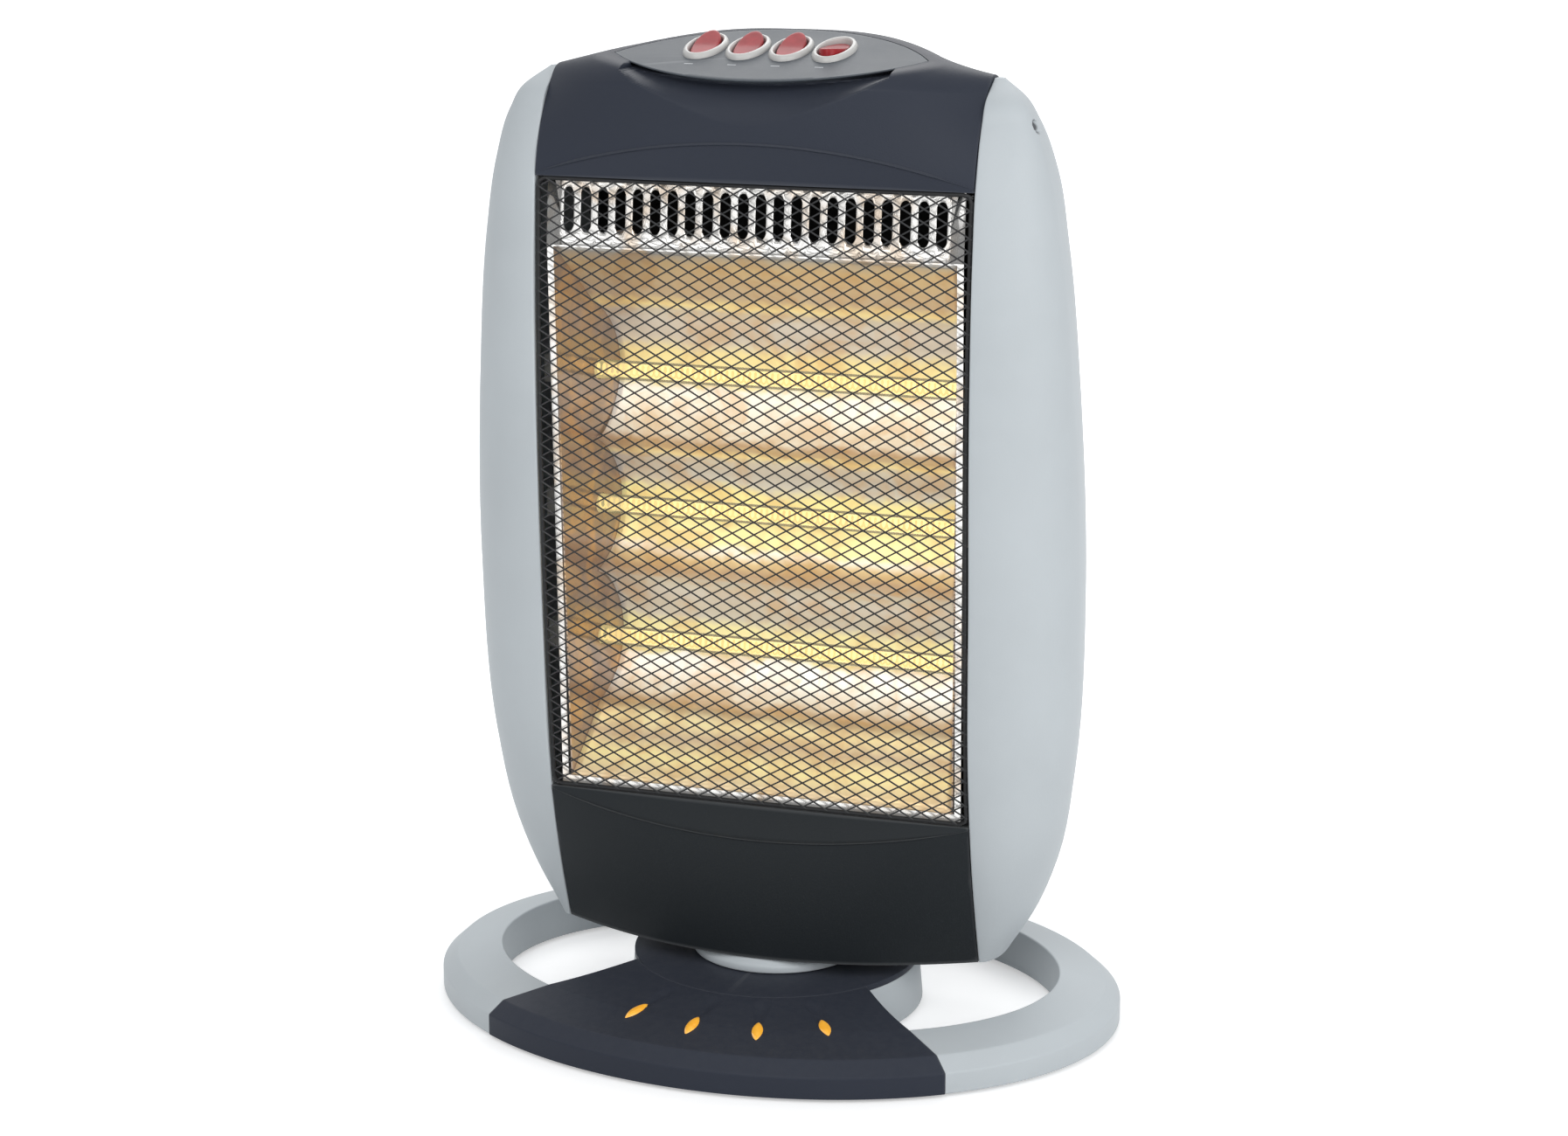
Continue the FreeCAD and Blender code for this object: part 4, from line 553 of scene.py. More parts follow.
def painted_hole_shade(skin):
    """Copy of the skin darkened inside the screw holes, as painted shade in the recesses."""
    made = skin.copy()
    made.name = "silver_shell_painted_shade"
    tree = made.node_tree
    shader = next(node for node in tree.nodes if node.type == "BSDF_PRINCIPLED")
    shown = shader.inputs["Base Color"].links[0].from_socket
    across = add(tree, "VectorMath", {0: where(tree), 1: (0, 1, 1)}, operation="MULTIPLY")
    axis = (0, *(length / 1000 for length in SCREW_PLACE))
    away = add(tree, "VectorMath", {0: across, 1: axis}, operation="DISTANCE").outputs["Value"]
    share = ranged(tree, away, (HOLE_SHADE_SHARE, 0.0), [(SCREW_HOLE + fade) / 1000 for fade in HOLE_SHADE_FADE])
    tree.links.new(mixed(tree, share, shown, HOLE_SHADE), shader.inputs["Base Color"])
    return made


# Painted shade: the shells' silver darkens inside the screw holes.
silver_shell_painted_shade = painted_hole_shade(silver)
for shell_name, side in (("right_side_shell", 1), ("left_side_shell", -1)):
    settle(shell_name + "_skin", [shell_bowl(side)], silver_shell_painted_shade, shell_name, 50)


# Lower front panel: charcoal apron under the guard, bowed forward, its chamfer fading out towards the seams.
# Moulded; its crease is a crisp arc that catches a thin line of light. Its charcoal is a darker copy as painted
# shade, and its lightened edges are raised as a painted highlight along the crease.
PANEL_HALF, GUARD_LOW, GUARD_HIGH, LIP_LAND = 110.85, 114.5, 429.0, 1.5
# darker copy of the charcoal: painted shade on the lower panel
CHARCOAL_PAINTED_SHADE = (0.0155, 0.0187, 0.0215, 1)
LOWER_TOP, LOWER_BULGE, LOWER_CREASE, LOWER_BACK = 114.2, 30.0, 14.0, -4.0
LOWER_BOW, LOWER_SAG = (0.5, 4.5, 4.0), 5  # how far lip, crease and belly bow out, drop of the belly
BEAD_FULL = 8.0  # chamfer width at which the bead is full
BEAD_ROWS = [  # side of the crease, reach, rise
    (0, 0.85, 0.02), (0, 0.60, 0.42), (0, 0.28, 0.66), (1, 0.0, 0.74), (1, 0.28, 0.66), (1, 0.60, 0.42),
    (1, 0.85, 0.02)]


def seam_front(z):
    """Depth of the front seam at a height."""
    return HEAD_SET + HEAD_DEPTH * outline_at((z - HEAD_FOOT) / HEAD_RISE, 1)


def bent(start, middle, end, steps):
    """Points of a curve through three, one row for each section across the head."""
    t = np.linspace(0, 1, steps)[None, :, None]
    pull = 2 * middle - (start + end) / 2
    return (1 - t) ** 2 * start[:, None] + 2 * t * (1 - t) * pull[:, None] + t * t * end[:, None]


def across_head(edge, middle, powers, sections=121):
    """Points of each section, led from the middle to the edge by a power of the distance."""
    share = np.linspace(-1, 1, sections)
    away = np.abs(share)[:, None]
    ends = zip(np.array(edge), np.array(middle), powers)
    return share * PANEL_HALF, [inner + (outer - inner) * away ** power for outer, inner, power in ends]


def bead(chamfer, crease, face):
    """Fine bead along a crease, dying out with the chamfer at the seams."""
    sizes = np.minimum(norms(crease - chamfer[:, 0]) / BEAD_FULL, 1)
    ways = [(line - crease) / norms(line - crease) for line in (chamfer[:, 0], face[:, 1])]
    out = np.array([-1.0, 0.0])
    return np.stack([crease + sizes * (ways[side] * reach + out * rise) for side, reach, rise in BEAD_ROWS], 1)


def closed_panel(x, outline):
    """Closed solid from one outline for each section, with flat ends."""
    return solid(joined(x[:, None], *np.moveaxis(outline, -1, 0)))


def lower_panel():
    """Sections from the lip over the crease and a long swell to the foot, then back behind."""
    swell = (HEAD_FOOT + GUARD_LOW) / 2
    lip, side, corner = seam_front(np.array([GUARD_LOW, swell, HEAD_FOOT]))
    front = corner - LOWER_BULGE
    edge = [(lip, LOWER_TOP), (lip, LOWER_TOP - LIP_LAND), (side, swell), (corner, HEAD_FOOT)]
    middle = [(lip - LOWER_BOW[0], LOWER_TOP), (front - LOWER_BOW[1], LOWER_TOP - LOWER_CREASE),
              (front - LOWER_BOW[2], swell - LOWER_SAG), (front, HEAD_FOOT)]
    x, (top, crease, belly, foot) = across_head(edge, middle, (2, 2, 2, 2))
    behind = [joined(LOWER_BACK, line[:, 1])[:, None] for line in (foot, top)]
    chamfer, face = bent(top, (top + crease) / 2, crease, 9), bent(crease, belly, foot, 41)
    outline = [chamfer[:, :-1], bead(chamfer, crease, face), face[:, 1:], *behind]
    return closed_panel(x, np.concatenate(outline, 1))


# Painted shade: a darker charcoal; the raised edge lightening adds a painted highlight on the crease bead.
charcoal_shaded_copy = plastic("charcoal_lower_painted_shade", CHARCOAL_PAINTED_SHADE, 0.52, 0.15, grain=1100.0, depth=0.22, dust=0.02,
                       wear_and_sheen=0.16)
settle("lower_panel_skin", [lower_panel()], charcoal_shaded_copy, "lower_front_panel", 40)


# Upper front panel: charcoal brow over the guard that swells into the crown, cut flat for the controls.
# Moulded; a chamfer rises to an arc in the middle, and a soft hollow lies under the lip of the controls.
UPPER_CREASE, BACK_Y, CROWN_Z, CROWN_POWER = 19.5, 34.0, 497.0, 3.2
KNEE_DROP, BACK_DROP, CREST_EDGE, UPPER_LIP = 6.5, 26.5, 2.0, 1.5
UPPER_BELLY, UPPER_BROW, UPPER_CREST = (-0.6, 33.0), (1.0, 476.0), (28.0, -3.5)
DECK_ORIGIN, DECK_SLOPE, DECK_THICK = np.array([-48.0, 479.0]), math.radians(12.38), 3.2
LENS_TIP, LENS_TIP_Y, LENS_FRONT, LENS_BACK = 80.0, -11.5, -48.0, 33.4
LENS_FIT, LENS_CLEAR = 0.15, 40.0
HOLLOW_HALF, HOLLOW_DEPTH, HOLLOW_FOOT, HOLLOW_FACE, HOLLOW_POWER = 67.0, 9.0, 452.0, -49.0, 2.2
FLUSH_REACH = 18.0


def upper_panel():
    """Sections from the lip over the crease, the brow and the crown to the parting at the back."""
    top = HEAD_FOOT + HEAD_RISE
    knee = top - KNEE_DROP
    swell, front = (GUARD_HIGH + knee) / 2, DECK_ORIGIN[0]
    lip, side, shoulder = seam_front(np.array([GUARD_HIGH, swell, knee]))
    edge = [(lip, GUARD_HIGH), (lip, GUARD_HIGH + LIP_LAND), (side, swell), (shoulder, knee), (CREST_EDGE, top),
            (BACK_Y, top - BACK_DROP)]
    middle = [(lip - UPPER_LIP, GUARD_HIGH), (front, GUARD_HIGH + UPPER_CREASE),
              (front + UPPER_BELLY[0], GUARD_HIGH + UPPER_BELLY[1]), (front + UPPER_BROW[0], UPPER_BROW[1]),
              (front + UPPER_CREST[0], CROWN_Z + UPPER_CREST[1]), (BACK_Y, CROWN_Z)]
    x, (foot, crease, belly, brow, crest, back) = across_head(edge, middle, (2, 2, 2) + (CROWN_POWER,) * 3, 161)
    chamfer = bent(foot, (foot + crease) / 2, crease, 9)
    face, crown = bent(crease, belly, brow, 61), bent(brow, crest, back, 61)
    below = joined(BACK_Y, foot[:, 1])[:, None]
    outline = [chamfer[:, :-1], bead(chamfer, crease, face), face[:, 1:], crown[:, 1:], below]
    return closed_panel(x, hollowed(x[:, None], flush(x[:, None], np.concatenate(outline, 1))))


def deck_level(y):
    """Height of the control deck's plane at a depth."""
    return DECK_ORIGIN[1] + (y - DECK_ORIGIN[0]) * math.tan(DECK_SLOPE)


def flush(x, outline):
    """Panel lowered to the deck's plane beside the lens, and less further out."""
    edge = lens_outline(0.0)
    y, z = np.moveaxis(outline, -1, 0)
    off = np.hypot(x[..., None] - edge[:, 0], y[..., None] - edge[:, 1]).min(-1)
    s = np.clip(off / FLUSH_REACH, 0, 1)
    above = np.maximum(z - deck_level(y), 0)
    return joined(y, z - above * (1 - s * s * (3 - 2 * s)))


def hollowed(x, outline):
    """Panel pressed back under the lens's front edge, deepest in the middle, running out at the tips."""
    y, z = np.moveaxis(outline, -1, 0)
    share = np.clip(1 - (x / HOLLOW_HALF) ** 2, 0, 1)
    rise = LENS_TIP_Y - LENS_FRONT
    radius = (LENS_TIP ** 2 + rise ** 2) / (2 * rise)
    lip = LENS_FRONT + radius - np.sqrt(radius ** 2 - np.minimum(np.abs(x), LENS_TIP) ** 2)
    top = deck_level(lip) - DECK_THICK
    foot = top + (HOLLOW_FOOT - top) * share
    u = np.clip((z - foot) / np.maximum(top - foot, 0.5), 0, 1)
    face = HOLLOW_FACE + (lip + HOLLOW_DEPTH * share - HOLLOW_FACE) * u ** HOLLOW_POWER
    return joined(np.where((share > 0) & (z > foot), np.maximum(y, face), y), z)


def lens_outline(grow):
    """Plan of the lens: two arcs through its tips, front and back, grown all round."""
    tip = LENS_TIP + grow
    found = []
    for middle, sign in ((LENS_FRONT - grow, 1), (LENS_BACK + grow, -1)):
        rise = LENS_TIP_Y - middle
        radius = (tip ** 2 + rise ** 2) / (2 * rise)
        half = math.asin(tip / abs(radius))
        t = sign * np.linspace(-half, half, 64, endpoint=False)
        found.append(joined(abs(radius) * np.sin(t), middle + radius * (1 - np.cos(t))))
    return np.concatenate(found)


def on_deck(points):
    """Points across, up the slope and above the tilted control deck, brought into the head."""
    x, u, w = np.moveaxis(points, -1, 0)
    y = DECK_ORIGIN[0] + u * math.cos(DECK_SLOPE) - w * math.sin(DECK_SLOPE)
    z = DECK_ORIGIN[1] + u * math.sin(DECK_SLOPE) + w * math.cos(DECK_SLOPE)
    return joined(x, y, z)


def deck_loop(outline, height):
    """Level outline laid on the deck's slope at a height above it."""
    up = (outline[:, 1] - DECK_ORIGIN[0]) / math.cos(DECK_SLOPE)
    return on_deck(joined(outline[:, 0], up, height))


def carved(*surfaces):
    """Mesh of the first closed surface less the others, all in millimetres."""
    made = []
    for surface in surfaces:
        mesh = mesh_of("carved", surface)
        clean(mesh, False)
        made.append(placed("carved", mesh))
    for cutter in made[1:]:
        cut = made[0].modifiers.new("cut", "BOOLEAN")
        cut.operation, cut.object, cut.solver = "DIFFERENCE", cutter, "EXACT"
    bpy.context.view_layer.update()
    result = bpy.data.meshes.new_from_object(made[0].evaluated_get(bpy.context.evaluated_depsgraph_get()))
    for thing in made:
        bpy.data.objects.remove(thing)
    return result


lens_cutter = solid([deck_loop(lens_outline(LENS_FIT), height) for height in (-DECK_THICK, LENS_CLEAR)])
settle("upper_panel_skin", carved(upper_panel(), lens_cutter), charcoal,
       "upper_front_panel", 40)


# Control panel: lens-shaped grey plate let into the crown, with an oval hole for each of the four switches.
# Moulded apart in a satin grey, with an eased upper edge; a short pale tick is printed before each switch.
LENS_ROWS = [  # growth of the outline, height
    (-5.0, -DECK_THICK), (-1.2, -1.1), (-0.15, -0.75), (0, -0.5), (-0.1, -0.2), (-0.45, 0.0), (-3.0, 0.0)]
SWITCH_XS, SWITCH_UP = (-36.1, -14.1, 7.9, 29.9), 48.3
WELL, WELL_REACH = np.array([7.5, 15.2]), 9
TICK_HALF, TICK_UP, TICK_LIFT = (2.2, 0.45), 22.5, 0.05
PANEL_GREY, TICK_WHITE = (0.064, 0.076, 0.090, 1), (0.6, 0.62, 0.64, 1)


def deck_oval(x, half, height):
    """Oval round one switch at a height above the deck."""
    t = circle(72)
    return on_deck(joined(x + half[0] * np.cos(t), SWITCH_UP + half[1] * np.sin(t), height))


lens_plate = solid([deck_loop(lens_outline(grow), height) for grow, height in LENS_ROWS])
wells = [solid([deck_oval(x, WELL, height) for height in (-WELL_REACH, WELL_REACH)]) for x in SWITCH_XS]
panel_grey = plastic("panel_grey", PANEL_GREY, 0.48, 0.2, grain=1300.0, depth=0.15, dust=0.03)
settle("control_panel_skin", carved(lens_plate, *wells), panel_grey, "control_panel", 30)
ticks = [joined(*(SQUARE * TICK_HALF + (x, TICK_UP)).T, TICK_LIFT) for x in SWITCH_XS]
settle("switch_ticks", [(on_deck(tick), np.array([[0, 1, 2, 3]])) for tick in ticks],
       plastic("white_print", TICK_WHITE, 0.6, dust=0.0))


# Switches: four oval bezels in pale plastic, snapped through the panel, each round a clear red rocker.
# The rockers are cast in red acrylic over a neon lamp; three are pressed at the back and one at the front.
BEZEL, BEZEL_FIT = np.array([10.3, 18.5]), 0.05
BEZEL_ROWS = [  # share from the well's oval to the bezel's, height
    (0.0, -2.0), (0.0, 1.5), (0.06, 2.1), (0.22, 2.55), (0.45, 2.6), (0.7, 2.2), (0.9, 1.3), (1.0, 0.3),
    (1.0, -0.1)]
ROCKER_HALF, ROCKER_RISE, ROCKER_WAIST, ROCKER_EASE, ROCKER_TILT = (6.5, 14.2), 2.8, 1.8, 0.1, 12.0
ROCKER_RIM = [(0.95, 0.12), (0.98, 0.4), (1.0, 1.0), (1.0, 5.6), (0.94, 6.6)]  # share of the oval, drop
RUBY = ((0.20, 0.006, 0.010, 1), (0.40, 0.020, 0.028, 1))


def bezel_ring(x):
    """Domed ring between the well's oval and the bezel's oval."""
    rows = [deck_oval(x, WELL - BEZEL_FIT + share * (BEZEL - WELL), height) for share, height in BEZEL_ROWS]
    return weave(np.stack(rows), True)


def rocker_key(x, tilt):
    """Oval key that slopes up from the waist to both ends, eased at the rim, turned about its pivot."""
    top = [(share, 0.0) for share in np.linspace(0, 0.9, 14)]
    rho, drop = np.hsplit(np.array(top + ROCKER_RIM), 2)
    t = circle(64)[None]
    across, along = ROCKER_HALF[0] * rho * np.cos(t), ROCKER_HALF[1] * rho * np.sin(t)
    slope = np.hypot(along / ROCKER_HALF[1], ROCKER_EASE) - ROCKER_EASE
    up = ROCKER_WAIST + (ROCKER_RISE - ROCKER_WAIST) * slope - drop
    c, s = math.cos(math.radians(tilt)), math.sin(math.radians(tilt))
    return solid(on_deck(joined(x + across, SWITCH_UP + along * c - up * s, along * s + up * c)))


pale_rim = plastic("pale_rim", (0.56, 0.55, 0.53, 1), 0.34, grain=1500.0, depth=0.06, dust=0.03)
settle("bezels_skin", [bezel_ring(x) for x in SWITCH_XS], pale_rim, "switch_bezels")
red = acrylic("red_acrylic", 160.0, RUBY, 0.06, Roughness=0.30, Specular_IOR_Level=0.2)
for number, x in enumerate(SWITCH_XS, 1):
    key = "rocker_%d" % number
    tilt = -ROCKER_TILT if number == 4 else ROCKER_TILT
    settle(key + "_skin", [rocker_key(x, tilt)], red, key, 30, key)


# Rear cover: charcoal back moulding with two banks of air slots, clipped to the front at the parting.
# Its skin is the model's own, smoothed and with the slot edges eased.
rear = nodes["rear_cover"].data.copy()
rear_piece = settle("rear_cover_skin", rear, charcoal, "rear_cover", 32)
ease = rear_piece.modifiers.new("eased_edges", "BEVEL")
ease.width, ease.segments, ease.limit_method, ease.angle_limit = 0.0005, 2, "ANGLE", math.radians(40)
even = rear_piece.modifiers.new("even_shading", "WEIGHTED_NORMAL")
even.keep_sharp, even.weight = True, 90


# Reflector: one polished sheet folded into three troughs, flared end plates and a flange round the mouth.
# Rolled bright steel that throws the lamps' light forward; its straw, brown and white bands are painted
# reflections, with painted shade along the top and a painted glow on the side that faces the lamps.
LAMP_ZS, RIDGE_Y, TROUGH_Y, TROUGH_HALF = (326.7, 257.0, 187.3), -4.0, 18.0, 34.85
MOUTH_TOP, MOUTH_LOW = (-38.0, 395.0), (-29.5, 119.5)
MOUTH_HALF, BACK_HALF, FLARE_BACK, SHEET_COLUMNS, SHEET_THICK = 102.8, 90.0, 19.0, 61, 0.0010
LAMP_FOCUS, BLOT_COLOUR = (0.0, -0.15, 0.257), (0.50, 0.31, 0.13, 1)
BLOT_SPAN, BLOT_SHARE, BAND_WAVE, ALONG_X = (0.44, 0.63), (0.0, 0.48), (-0.018, 0.018), (0.04, 1, 1)
# Painted reflections and shade: white bands for the white surround, yellow bands for the lamps, and a dark top
# band as painted shadow under the vent strip; the glow column is painted light.
PAINTED_REFLECTION_BANDS = [  # distance along the sheet from the top in mm; red, green, blue and glow in hundredths
    (0, 26, 24, 22, 14), (3, 48, 46, 42, 27), (12, 60, 48, 30, 29), (38, 54, 45, 35, 26),
    (46, 68, 58, 31, 44), (53, 51, 47, 42, 36), (76, 55, 51, 47, 41), (84, 66, 58, 32, 49),
    (99, 67, 60, 33, 50), (102, 68, 66, 62, 61), (128, 66, 64, 59, 56), (134, 54, 41, 30, 24),
    (141, 53, 42, 32, 27), (147, 66, 57, 35, 47), (151, 51, 48, 45, 38), (166, 53, 51, 48, 41),
    (173, 66, 60, 29, 59), (200, 68, 63, 33, 63), (204, 70, 68, 63, 65), (209, 66, 54, 34, 43),
    (217, 52, 39, 28, 29), (226, 50, 47, 43, 38), (255, 54, 51, 46, 43), (261, 66, 61, 34, 56),
    (275, 66, 59, 32, 54), (278, 69, 68, 65, 68), (298, 64, 61, 56, 58), (306, 50, 38, 26, 33),
    (316, 70, 59, 32, 54), (325, 55, 42, 27, 36), (336, 70, 59, 29, 56), (350, 57, 44, 28, 40)]


def sheet_profile():
    """Depths and heights along the folded sheet: a lip, three arcs and the lower lip."""
    deep = TROUGH_Y - RIDGE_Y
    radius = (TROUGH_HALF ** 2 + deep ** 2) / (2 * deep)
    half = math.atan2(TROUGH_HALF, radius - deep)
    t = np.linspace(half, -half, 33)
    upper = np.linspace(MOUTH_TOP, (RIDGE_Y, LAMP_ZS[0] + TROUGH_HALF), 12)
    lower = np.linspace((RIDGE_Y, LAMP_ZS[-1] - TROUGH_HALF), MOUTH_LOW, 12)[1:]
    arcs = [joined(TROUGH_Y - radius + radius * np.cos(t), z + radius * np.sin(t))[1:] for z in LAMP_ZS]
    return np.concatenate([upper, *arcs, lower])


def painted_bands(tree, value, columns):
    """Painted reflection colours along the sheet, from three columns of its bands."""
    made = add(tree, "ValToRGB", {0: value})
    stops = made.color_ramp.elements
    while len(stops) < len(PAINTED_REFLECTION_BANDS):
        stops.new(0.5)
    for stop, band in zip(stops, PAINTED_REFLECTION_BANDS):
        stop.position = band[0] / PAINTED_REFLECTION_BANDS[-1][0]
        stop.color = (*(band[column] / 100 for column in columns), 1)
    return made.outputs[0]


def bright_sheet(name, rough, tint=None, glow=0.0):
    """Rolled bright steel with painted reflections banded along the sheet or one cloudy tint, and a painted
    glow on the side facing the lamps.
    """
    made, tree = fresh(name)
    place = add(tree, "TexCoord").outputs
    lines = drawn(tree, ALONG_X, 700.0, 4.0)
    dents = noise(tree, place["Object"], 55.0, Detail=3.0, Distortion=0.8)
    if tint:
        colour, level = scaled(tree, tint, ranged(tree, dents, (0.7, 1.2))), glow
    else:
        along = add(tree, "Attribute", attribute_name="along").outputs["Fac"]
        shifted = summed(tree, "ADD", along, ranged(tree, dents, BAND_WAVE))
        colour, level = [painted_bands(tree, shifted, columns) for columns in ((1, 2, 3), (4, 4, 4))]
    blots = noise(tree, place["Object"], 38.0, Detail=4.0, Distortion=1.2)
    blotted = mixed(tree, ranged(tree, blots, BLOT_SHARE, BLOT_SPAN), colour, BLOT_COLOUR)
    # Painted light: the side that faces the lamps glows.
    toward = add(tree, "VectorMath", {0: LAMP_FOCUS, 1: place["Object"]}, operation="SUBTRACT")
    inward = add(tree, "VectorMath", {0: toward, 1: place["Normal"]}, operation="DOT_PRODUCT").outputs["Value"]
    shown = summed(tree, "MULTIPLY", summed(tree, "GREATER_THAN", inward, 0.0), level)
    press = bumped(tree, dents, 0.12, 0.001, Normal=bumped(tree, lines, 0.08, 0.0002))
    gloss = ranged(tree, lines, (rough - 0.06, rough + 0.1))
    principled(tree, Base_Color=blotted, Metallic=0.85, Roughness=gloss, Normal=press, Emission_Color=blotted,
               Emission_Strength=shown)
    return made


def folded_sheet():
    """Profile drawn across between the flared ends."""
    profile = sheet_profile()
    share = (profile[:, :1] - MOUTH_TOP[0]) / (FLARE_BACK - MOUTH_TOP[0])
    x = (MOUTH_HALF + (BACK_HALF - MOUTH_HALF) * share) * np.linspace(-1, 1, SHEET_COLUMNS)[None]
    return joined(x, profile[:, :1], profile[:, 1:])


def thicken(piece, thickness):
    """Gives a sheet its thickness, to both sides."""
    made = piece.modifiers.new("sheet", "SOLIDIFY")
    made.thickness, made.offset = thickness, 0.0


sheet_grid = folded_sheet()
sheet_mesh = mesh_of("reflector_skin", weave(sheet_grid))
distance = lengths(sheet_grid[:, SHEET_COLUMNS // 2]) / PAINTED_REFLECTION_BANDS[-1][0]
sheet_mesh.attributes.new("along", "FLOAT", "POINT").data.foreach_set(
    "value", np.repeat(distance, SHEET_COLUMNS).astype(np.float32))
reflector = settle("reflector_skin", sheet_mesh, bright_sheet("painted_reflection_sheet", 0.32),
                   "reflector", 25)
thicken(reflector, SHEET_THICK)
# Frame and vent strip: their own pale tint with a painted glow; end plates: a brown painted reflection with a
# painted glow.
polished = bright_sheet("polished_sheet", 0.22, (0.80, 0.79, 0.77), 0.22)
paint(bright_sheet("end_plate_painted_reflection", 0.08, (0.27, 0.21, 0.17), 0.36), "polished_sheet", "end_plates")
paint(polished, "polished_sheet", "reflector_frame")


# Heat shield: upright sheet behind the reflector and the vent strip, coloured near-black as painted shade so
# the inside looks dark. Plain zinc-coated steel, hung from the end plates.
SHIELD_HALF, SHIELD_Y, SHIELD_Z = 106.0, (30.0, 30.8), (114.5, 428.0)
shield_plan = SQUARE * (SHIELD_HALF, np.ptp(SHIELD_Y) / 2) + (0, np.mean(SHIELD_Y))
shield = solid([joined(*shield_plan.T, z) for z in SHIELD_Z])
shield_painted_shade = metal("heat_shield_painted_shade", (0.03, 0.03, 0.03), 0.65)
settle("heat_shield_skin", [shield], shield_painted_shade, "heat_shield")


# Vent strip: bright sheet above the reflector with a row of upright round-ended slots that let warm air out.
# Punched from the same steel; it leans back a little towards the upper panel.
STRIP_HALF, STRIP_LOW, STRIP_HIGH, STRIP_THICK = 106.0, (-39.1, 395.0), (-35.8, 429.0), 0.0008
SLOT_COUNT, SLOT_PITCH, SLOT_HALF, SLOT_RISE = 22, 9.025, (2.75, 10.8), 412.8


def slotted_strip():
    """Cells round the slots with plain ends beside them, all leaning back."""
    t = circle(48)
    c, s = np.cos(t), np.sin(t)
    slot = joined(SLOT_HALF[0] * c, SLOT_HALF[0] * s + np.sign(s) * (SLOT_HALF[1] - SLOT_HALF[0]))
    low, high = STRIP_LOW[1] - SLOT_RISE, STRIP_HIGH[1] - SLOT_RISE
    wide, tall = np.maximum(np.abs((c, s)), 1e-6)
    reach = np.minimum(SLOT_PITCH / 2 / wide, np.where(s > 0, high, -low) / tall)
    cell = joined(reach * c, reach * s)
    for point in np.array([(1, high), (-1, high), (-1, low), (1, low)]) * (SLOT_PITCH / 2, 1):
        cell[np.argmin(np.hypot(*(cell - point).T))] = point
    flat = np.stack([slot, slot + (cell - slot) * 0.5, cell])
    z = flat[..., 1] + SLOT_RISE
    y = np.interp(z, (STRIP_LOW[1], STRIP_HIGH[1]), (STRIP_LOW[0], STRIP_HIGH[0]))
    middles = SLOT_PITCH * (np.arange(SLOT_COUNT) - (SLOT_COUNT - 1) / 2)
    surfaces = [weave(joined(flat[..., 0] + middle, y, z), True) for middle in middles]
    for side in (-1, 1):
        near, far = side * SLOT_PITCH * SLOT_COUNT / 2, side * STRIP_HALF
        ends = [(near, *STRIP_LOW), (far, *STRIP_LOW), (far, *STRIP_HIGH), (near, *STRIP_HIGH)]
        surfaces.append((np.array(ends), np.array([[0, 1, 2, 3]])))
    return surfaces


strip = settle("vent_strip_skin", slotted_strip(), polished, "vent_panel")
thicken(strip, STRIP_THICK)


# Lamps: three clear quartz tubes on ceramic sockets, each with a glowing coil stretched through it.
# Tubes are drawn quartz, sealed at the ends; coils are wound resistance wire; sockets are fired steatite.
TUBE_HALF, TUBE_RADIUS, TUBE_NECK = 104.0, 5.0, 3.6
TUBE_ENDS = [(0.0, 0.0), (0.0, TUBE_NECK), (1.5, TUBE_RADIUS)]  # distance from the end, radius
TUBE_STRAIGHT = TUBE_HALF - 8
COIL_RADIUS, COIL_WIRE, COIL_HALF, COIL_TURNS, COIL_STEPS = 2.6, 0.55, 96.0, 64, 14
CLEAR, WARM, FIRE = (0.98, 0.95, 0.86, 1), (1.0, 0.84, 0.42, 1), (1.0, 0.72, 0.28, 1)


def tube_wall(z):
    """Round tube with eased sealed ends."""
    rows = [(off - TUBE_HALF, radius) for off, radius in TUBE_ENDS]
    rows += [(x, TUBE_RADIUS) for x in np.linspace(-TUBE_STRAIGHT, TUBE_STRAIGHT, 9)]
    rows += [(TUBE_HALF - off, radius) for off, radius in TUBE_ENDS[::-1]]
    x, r = np.hsplit(np.array(rows), 2)
    t = circle(40)[None]
    return weave(joined(x, r * np.cos(t), z + r * np.sin(t)), True)


def coil(z):
    """Wire wound round the tube's axis: a small circle led along a helix."""
    s = np.linspace(0, 1, COIL_TURNS * COIL_STEPS + 1)[:, None]
    turn = 2 * np.pi * COIL_TURNS * s
    t = circle(6)[None]
    out = COIL_RADIUS + COIL_WIRE * np.cos(t)
    x = COIL_HALF * (2 * s - 1) + COIL_WIRE * np.sin(t)
    return weave(joined(x, out * np.cos(turn), z + out * np.sin(turn)), True)


quartz, fused = fresh("quartz_glass")
frost = ranged(fused, drawn(fused, (0.05, 1, 1), 500.0, 3.0), (0.03, 0.2))
clear = add(fused, "BsdfTransparent", {"Color": CLEAR})
mirror = add(fused, "BsdfGlossy", {"Color": WHITE, "Roughness": frost})
warm = add(fused, "Emission", {"Color": WARM, "Strength": 0.24})
lit = add(fused, "AddShader", {0: clear, 1: warm})
facing = add(fused, "LayerWeight", {"Blend": 0.25}).outputs["Fresnel"]
glass = add(fused, "MixShader", {0: facing, 1: lit, 2: mirror})
add(fused, "OutputMaterial", {"Surface": glass})
hot, wire = fresh("hot_filament")
heat = ranged(wire, noise(wire, where(wire), 30.0), (0.6, 1.2))
fire = add(wire, "Emission", {"Color": FIRE, "Strength": heat})
add(wire, "OutputMaterial", {"Surface": fire})
for number, z in enumerate(LAMP_ZS, 1):
    tube_name = "quartz_tube_%d" % number
    settle(tube_name + "_skin", [tube_wall(z)], quartz, tube_name)
settle("filament_coils", [coil(z) for z in LAMP_ZS], hot, "lamp_filaments")
ceramic = plastic("white_ceramic", (0.78, 0.76, 0.71, 1), 0.55, grain=700.0, depth=0.15, dust=0.0)
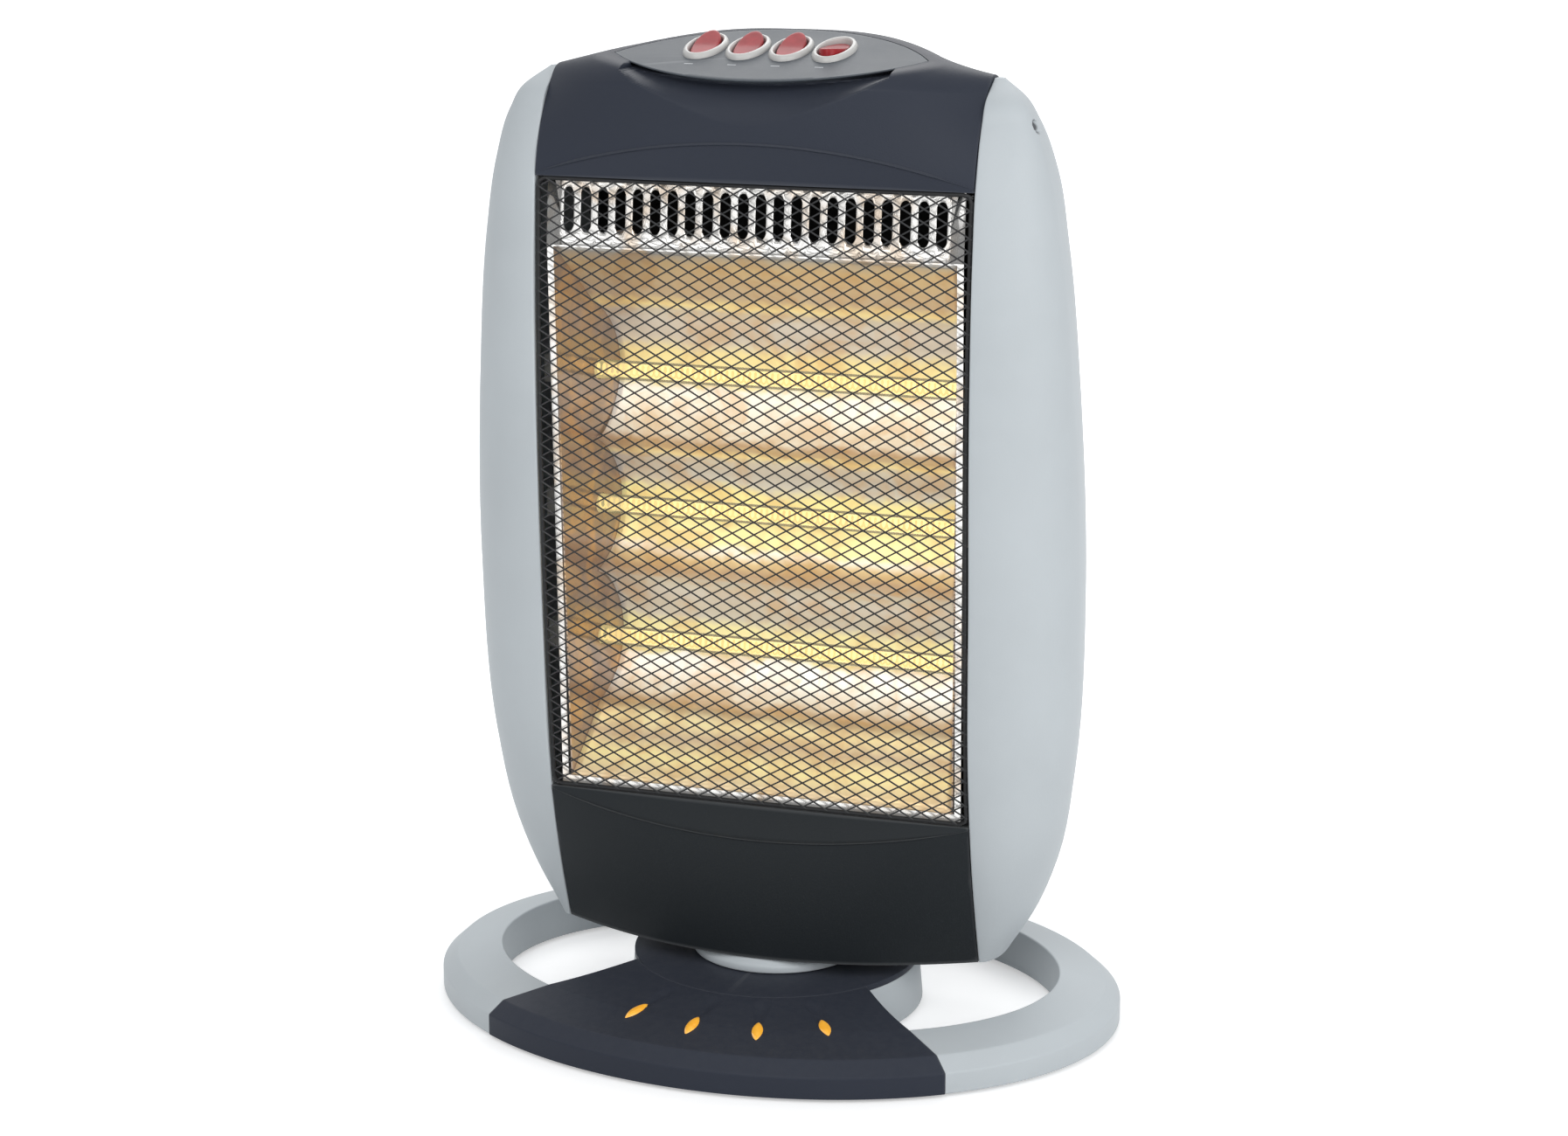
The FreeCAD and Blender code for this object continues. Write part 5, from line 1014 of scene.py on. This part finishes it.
paint(ceramic, "white_ceramic", "ceramic_caps", "terminal_block")


# Guard: two layers of round black wires welded where they cross, on a black rim that clips into the shells.
# Steel wire, powder-coated; the layers lie one behind the other and follow the bow of the head.
MESH_PITCH, MESH_RISE, WIRE_RADIUS, WIRE_SINK, WIRE_STEPS = 11.2, 6.4, 0.42, 0.95, 28
WINDOW_HALF, WINDOW_LOW, WINDOW_HIGH, WINDOW_OVER = 109.4, 115.4, 428.0, 1.0
GUARD_BOW = 7.3
RIM_HALF, RIM_LOW, RIM_RISE, RIM_RADIUS, RIM_CORNER = 109.6, 115.6, 312.2, 1.1, 4.0


def guard_front(z):
    """Depth of the guard's front at a height, bowed between its low and high edge."""
    low, high = seam_front(np.array([GUARD_LOW, GUARD_HIGH]))
    share = (z - GUARD_LOW) / (GUARD_HIGH - GUARD_LOW)
    return low + (high - low) * share - GUARD_BOW * 4 * share * (1 - share)


def wire_net():
    """Round wires along both slants of the diamonds, cut off at the window."""
    slope = MESH_RISE / MESH_PITCH
    middle = (WINDOW_LOW + WINDOW_HIGH) / 2
    half = (WINDOW_HIGH - WINDOW_LOW) / 2 / slope
    count = int((WINDOW_HALF + half) / MESH_PITCH)
    t = circle(6)
    surfaces = []
    for layer, lean in ((0, -slope), (1, slope)):
        start = (np.arange(-count, count + 1) + layer / 2) * MESH_PITCH
        low = np.maximum(start - half, -WINDOW_HALF - WINDOW_OVER)
        high = np.minimum(start + half, WINDOW_HALF + WINDOW_OVER)
        keep = high - low > 1.0
        low, high, start = [ends[keep][:, None] for ends in (low, high, start)]
        x = low + (high - low) * np.linspace(0, 1, WIRE_STEPS)[None]
        z = middle + lean * (x - start)
        y = guard_front(z) + WIRE_RADIUS + layer * 2 * WIRE_RADIUS * WIRE_SINK
        norm = math.hypot(1, lean)
        ring = WIRE_RADIUS * joined(-lean / norm * np.sin(t), np.cos(t), np.sin(t) / norm)
        grid = joined(x, y, z)[:, :, None] + ring[None, None]
        surfaces += [weave(wire_grid, True) for wire_grid in grid]
    return surfaces


def rim_loop():
    """Round rod led round the window, bowed with the guard, its corners eased."""
    corners = np.array([(-1, 0), (1, 0), (1, 1), (-1, 1)]) * (RIM_HALF, RIM_RISE) + (0, RIM_LOW)
    turns = rounded(corners, RIM_CORNER, 7)
    turns = np.vstack([turns, turns[:1]])
    way = lengths(turns)
    s = np.linspace(0, way[-1], 300, endpoint=False)
    x, z = [np.interp(s, way, turns[:, k]) for k in (0, 1)]
    line = joined(x, guard_front(z) + RIM_RADIUS, z)
    lead = np.roll(line, -1, 0) - np.roll(line, 1, 0)
    lead /= norms(lead)
    out = np.cross(lead, [0.0, 1.0, 0.0])
    t = circle(10)[None, :, None]
    ring = out[:, None] * np.cos(t) + np.cross(out, lead)[:, None] * np.sin(t)
    return weave(line[:, None] + RIM_RADIUS * ring, True, True)


black_wire = plastic("black_wire", (0.008, 0.008, 0.009, 1), 0.5, 0.15, grain=2500.0, depth=0.1, dust=0.0)
settle("guard_net", wire_net(), black_wire, "guard_wires", 60)
settle("guard_rim", [rim_loop()], black_wire, "guard_frame", 60)
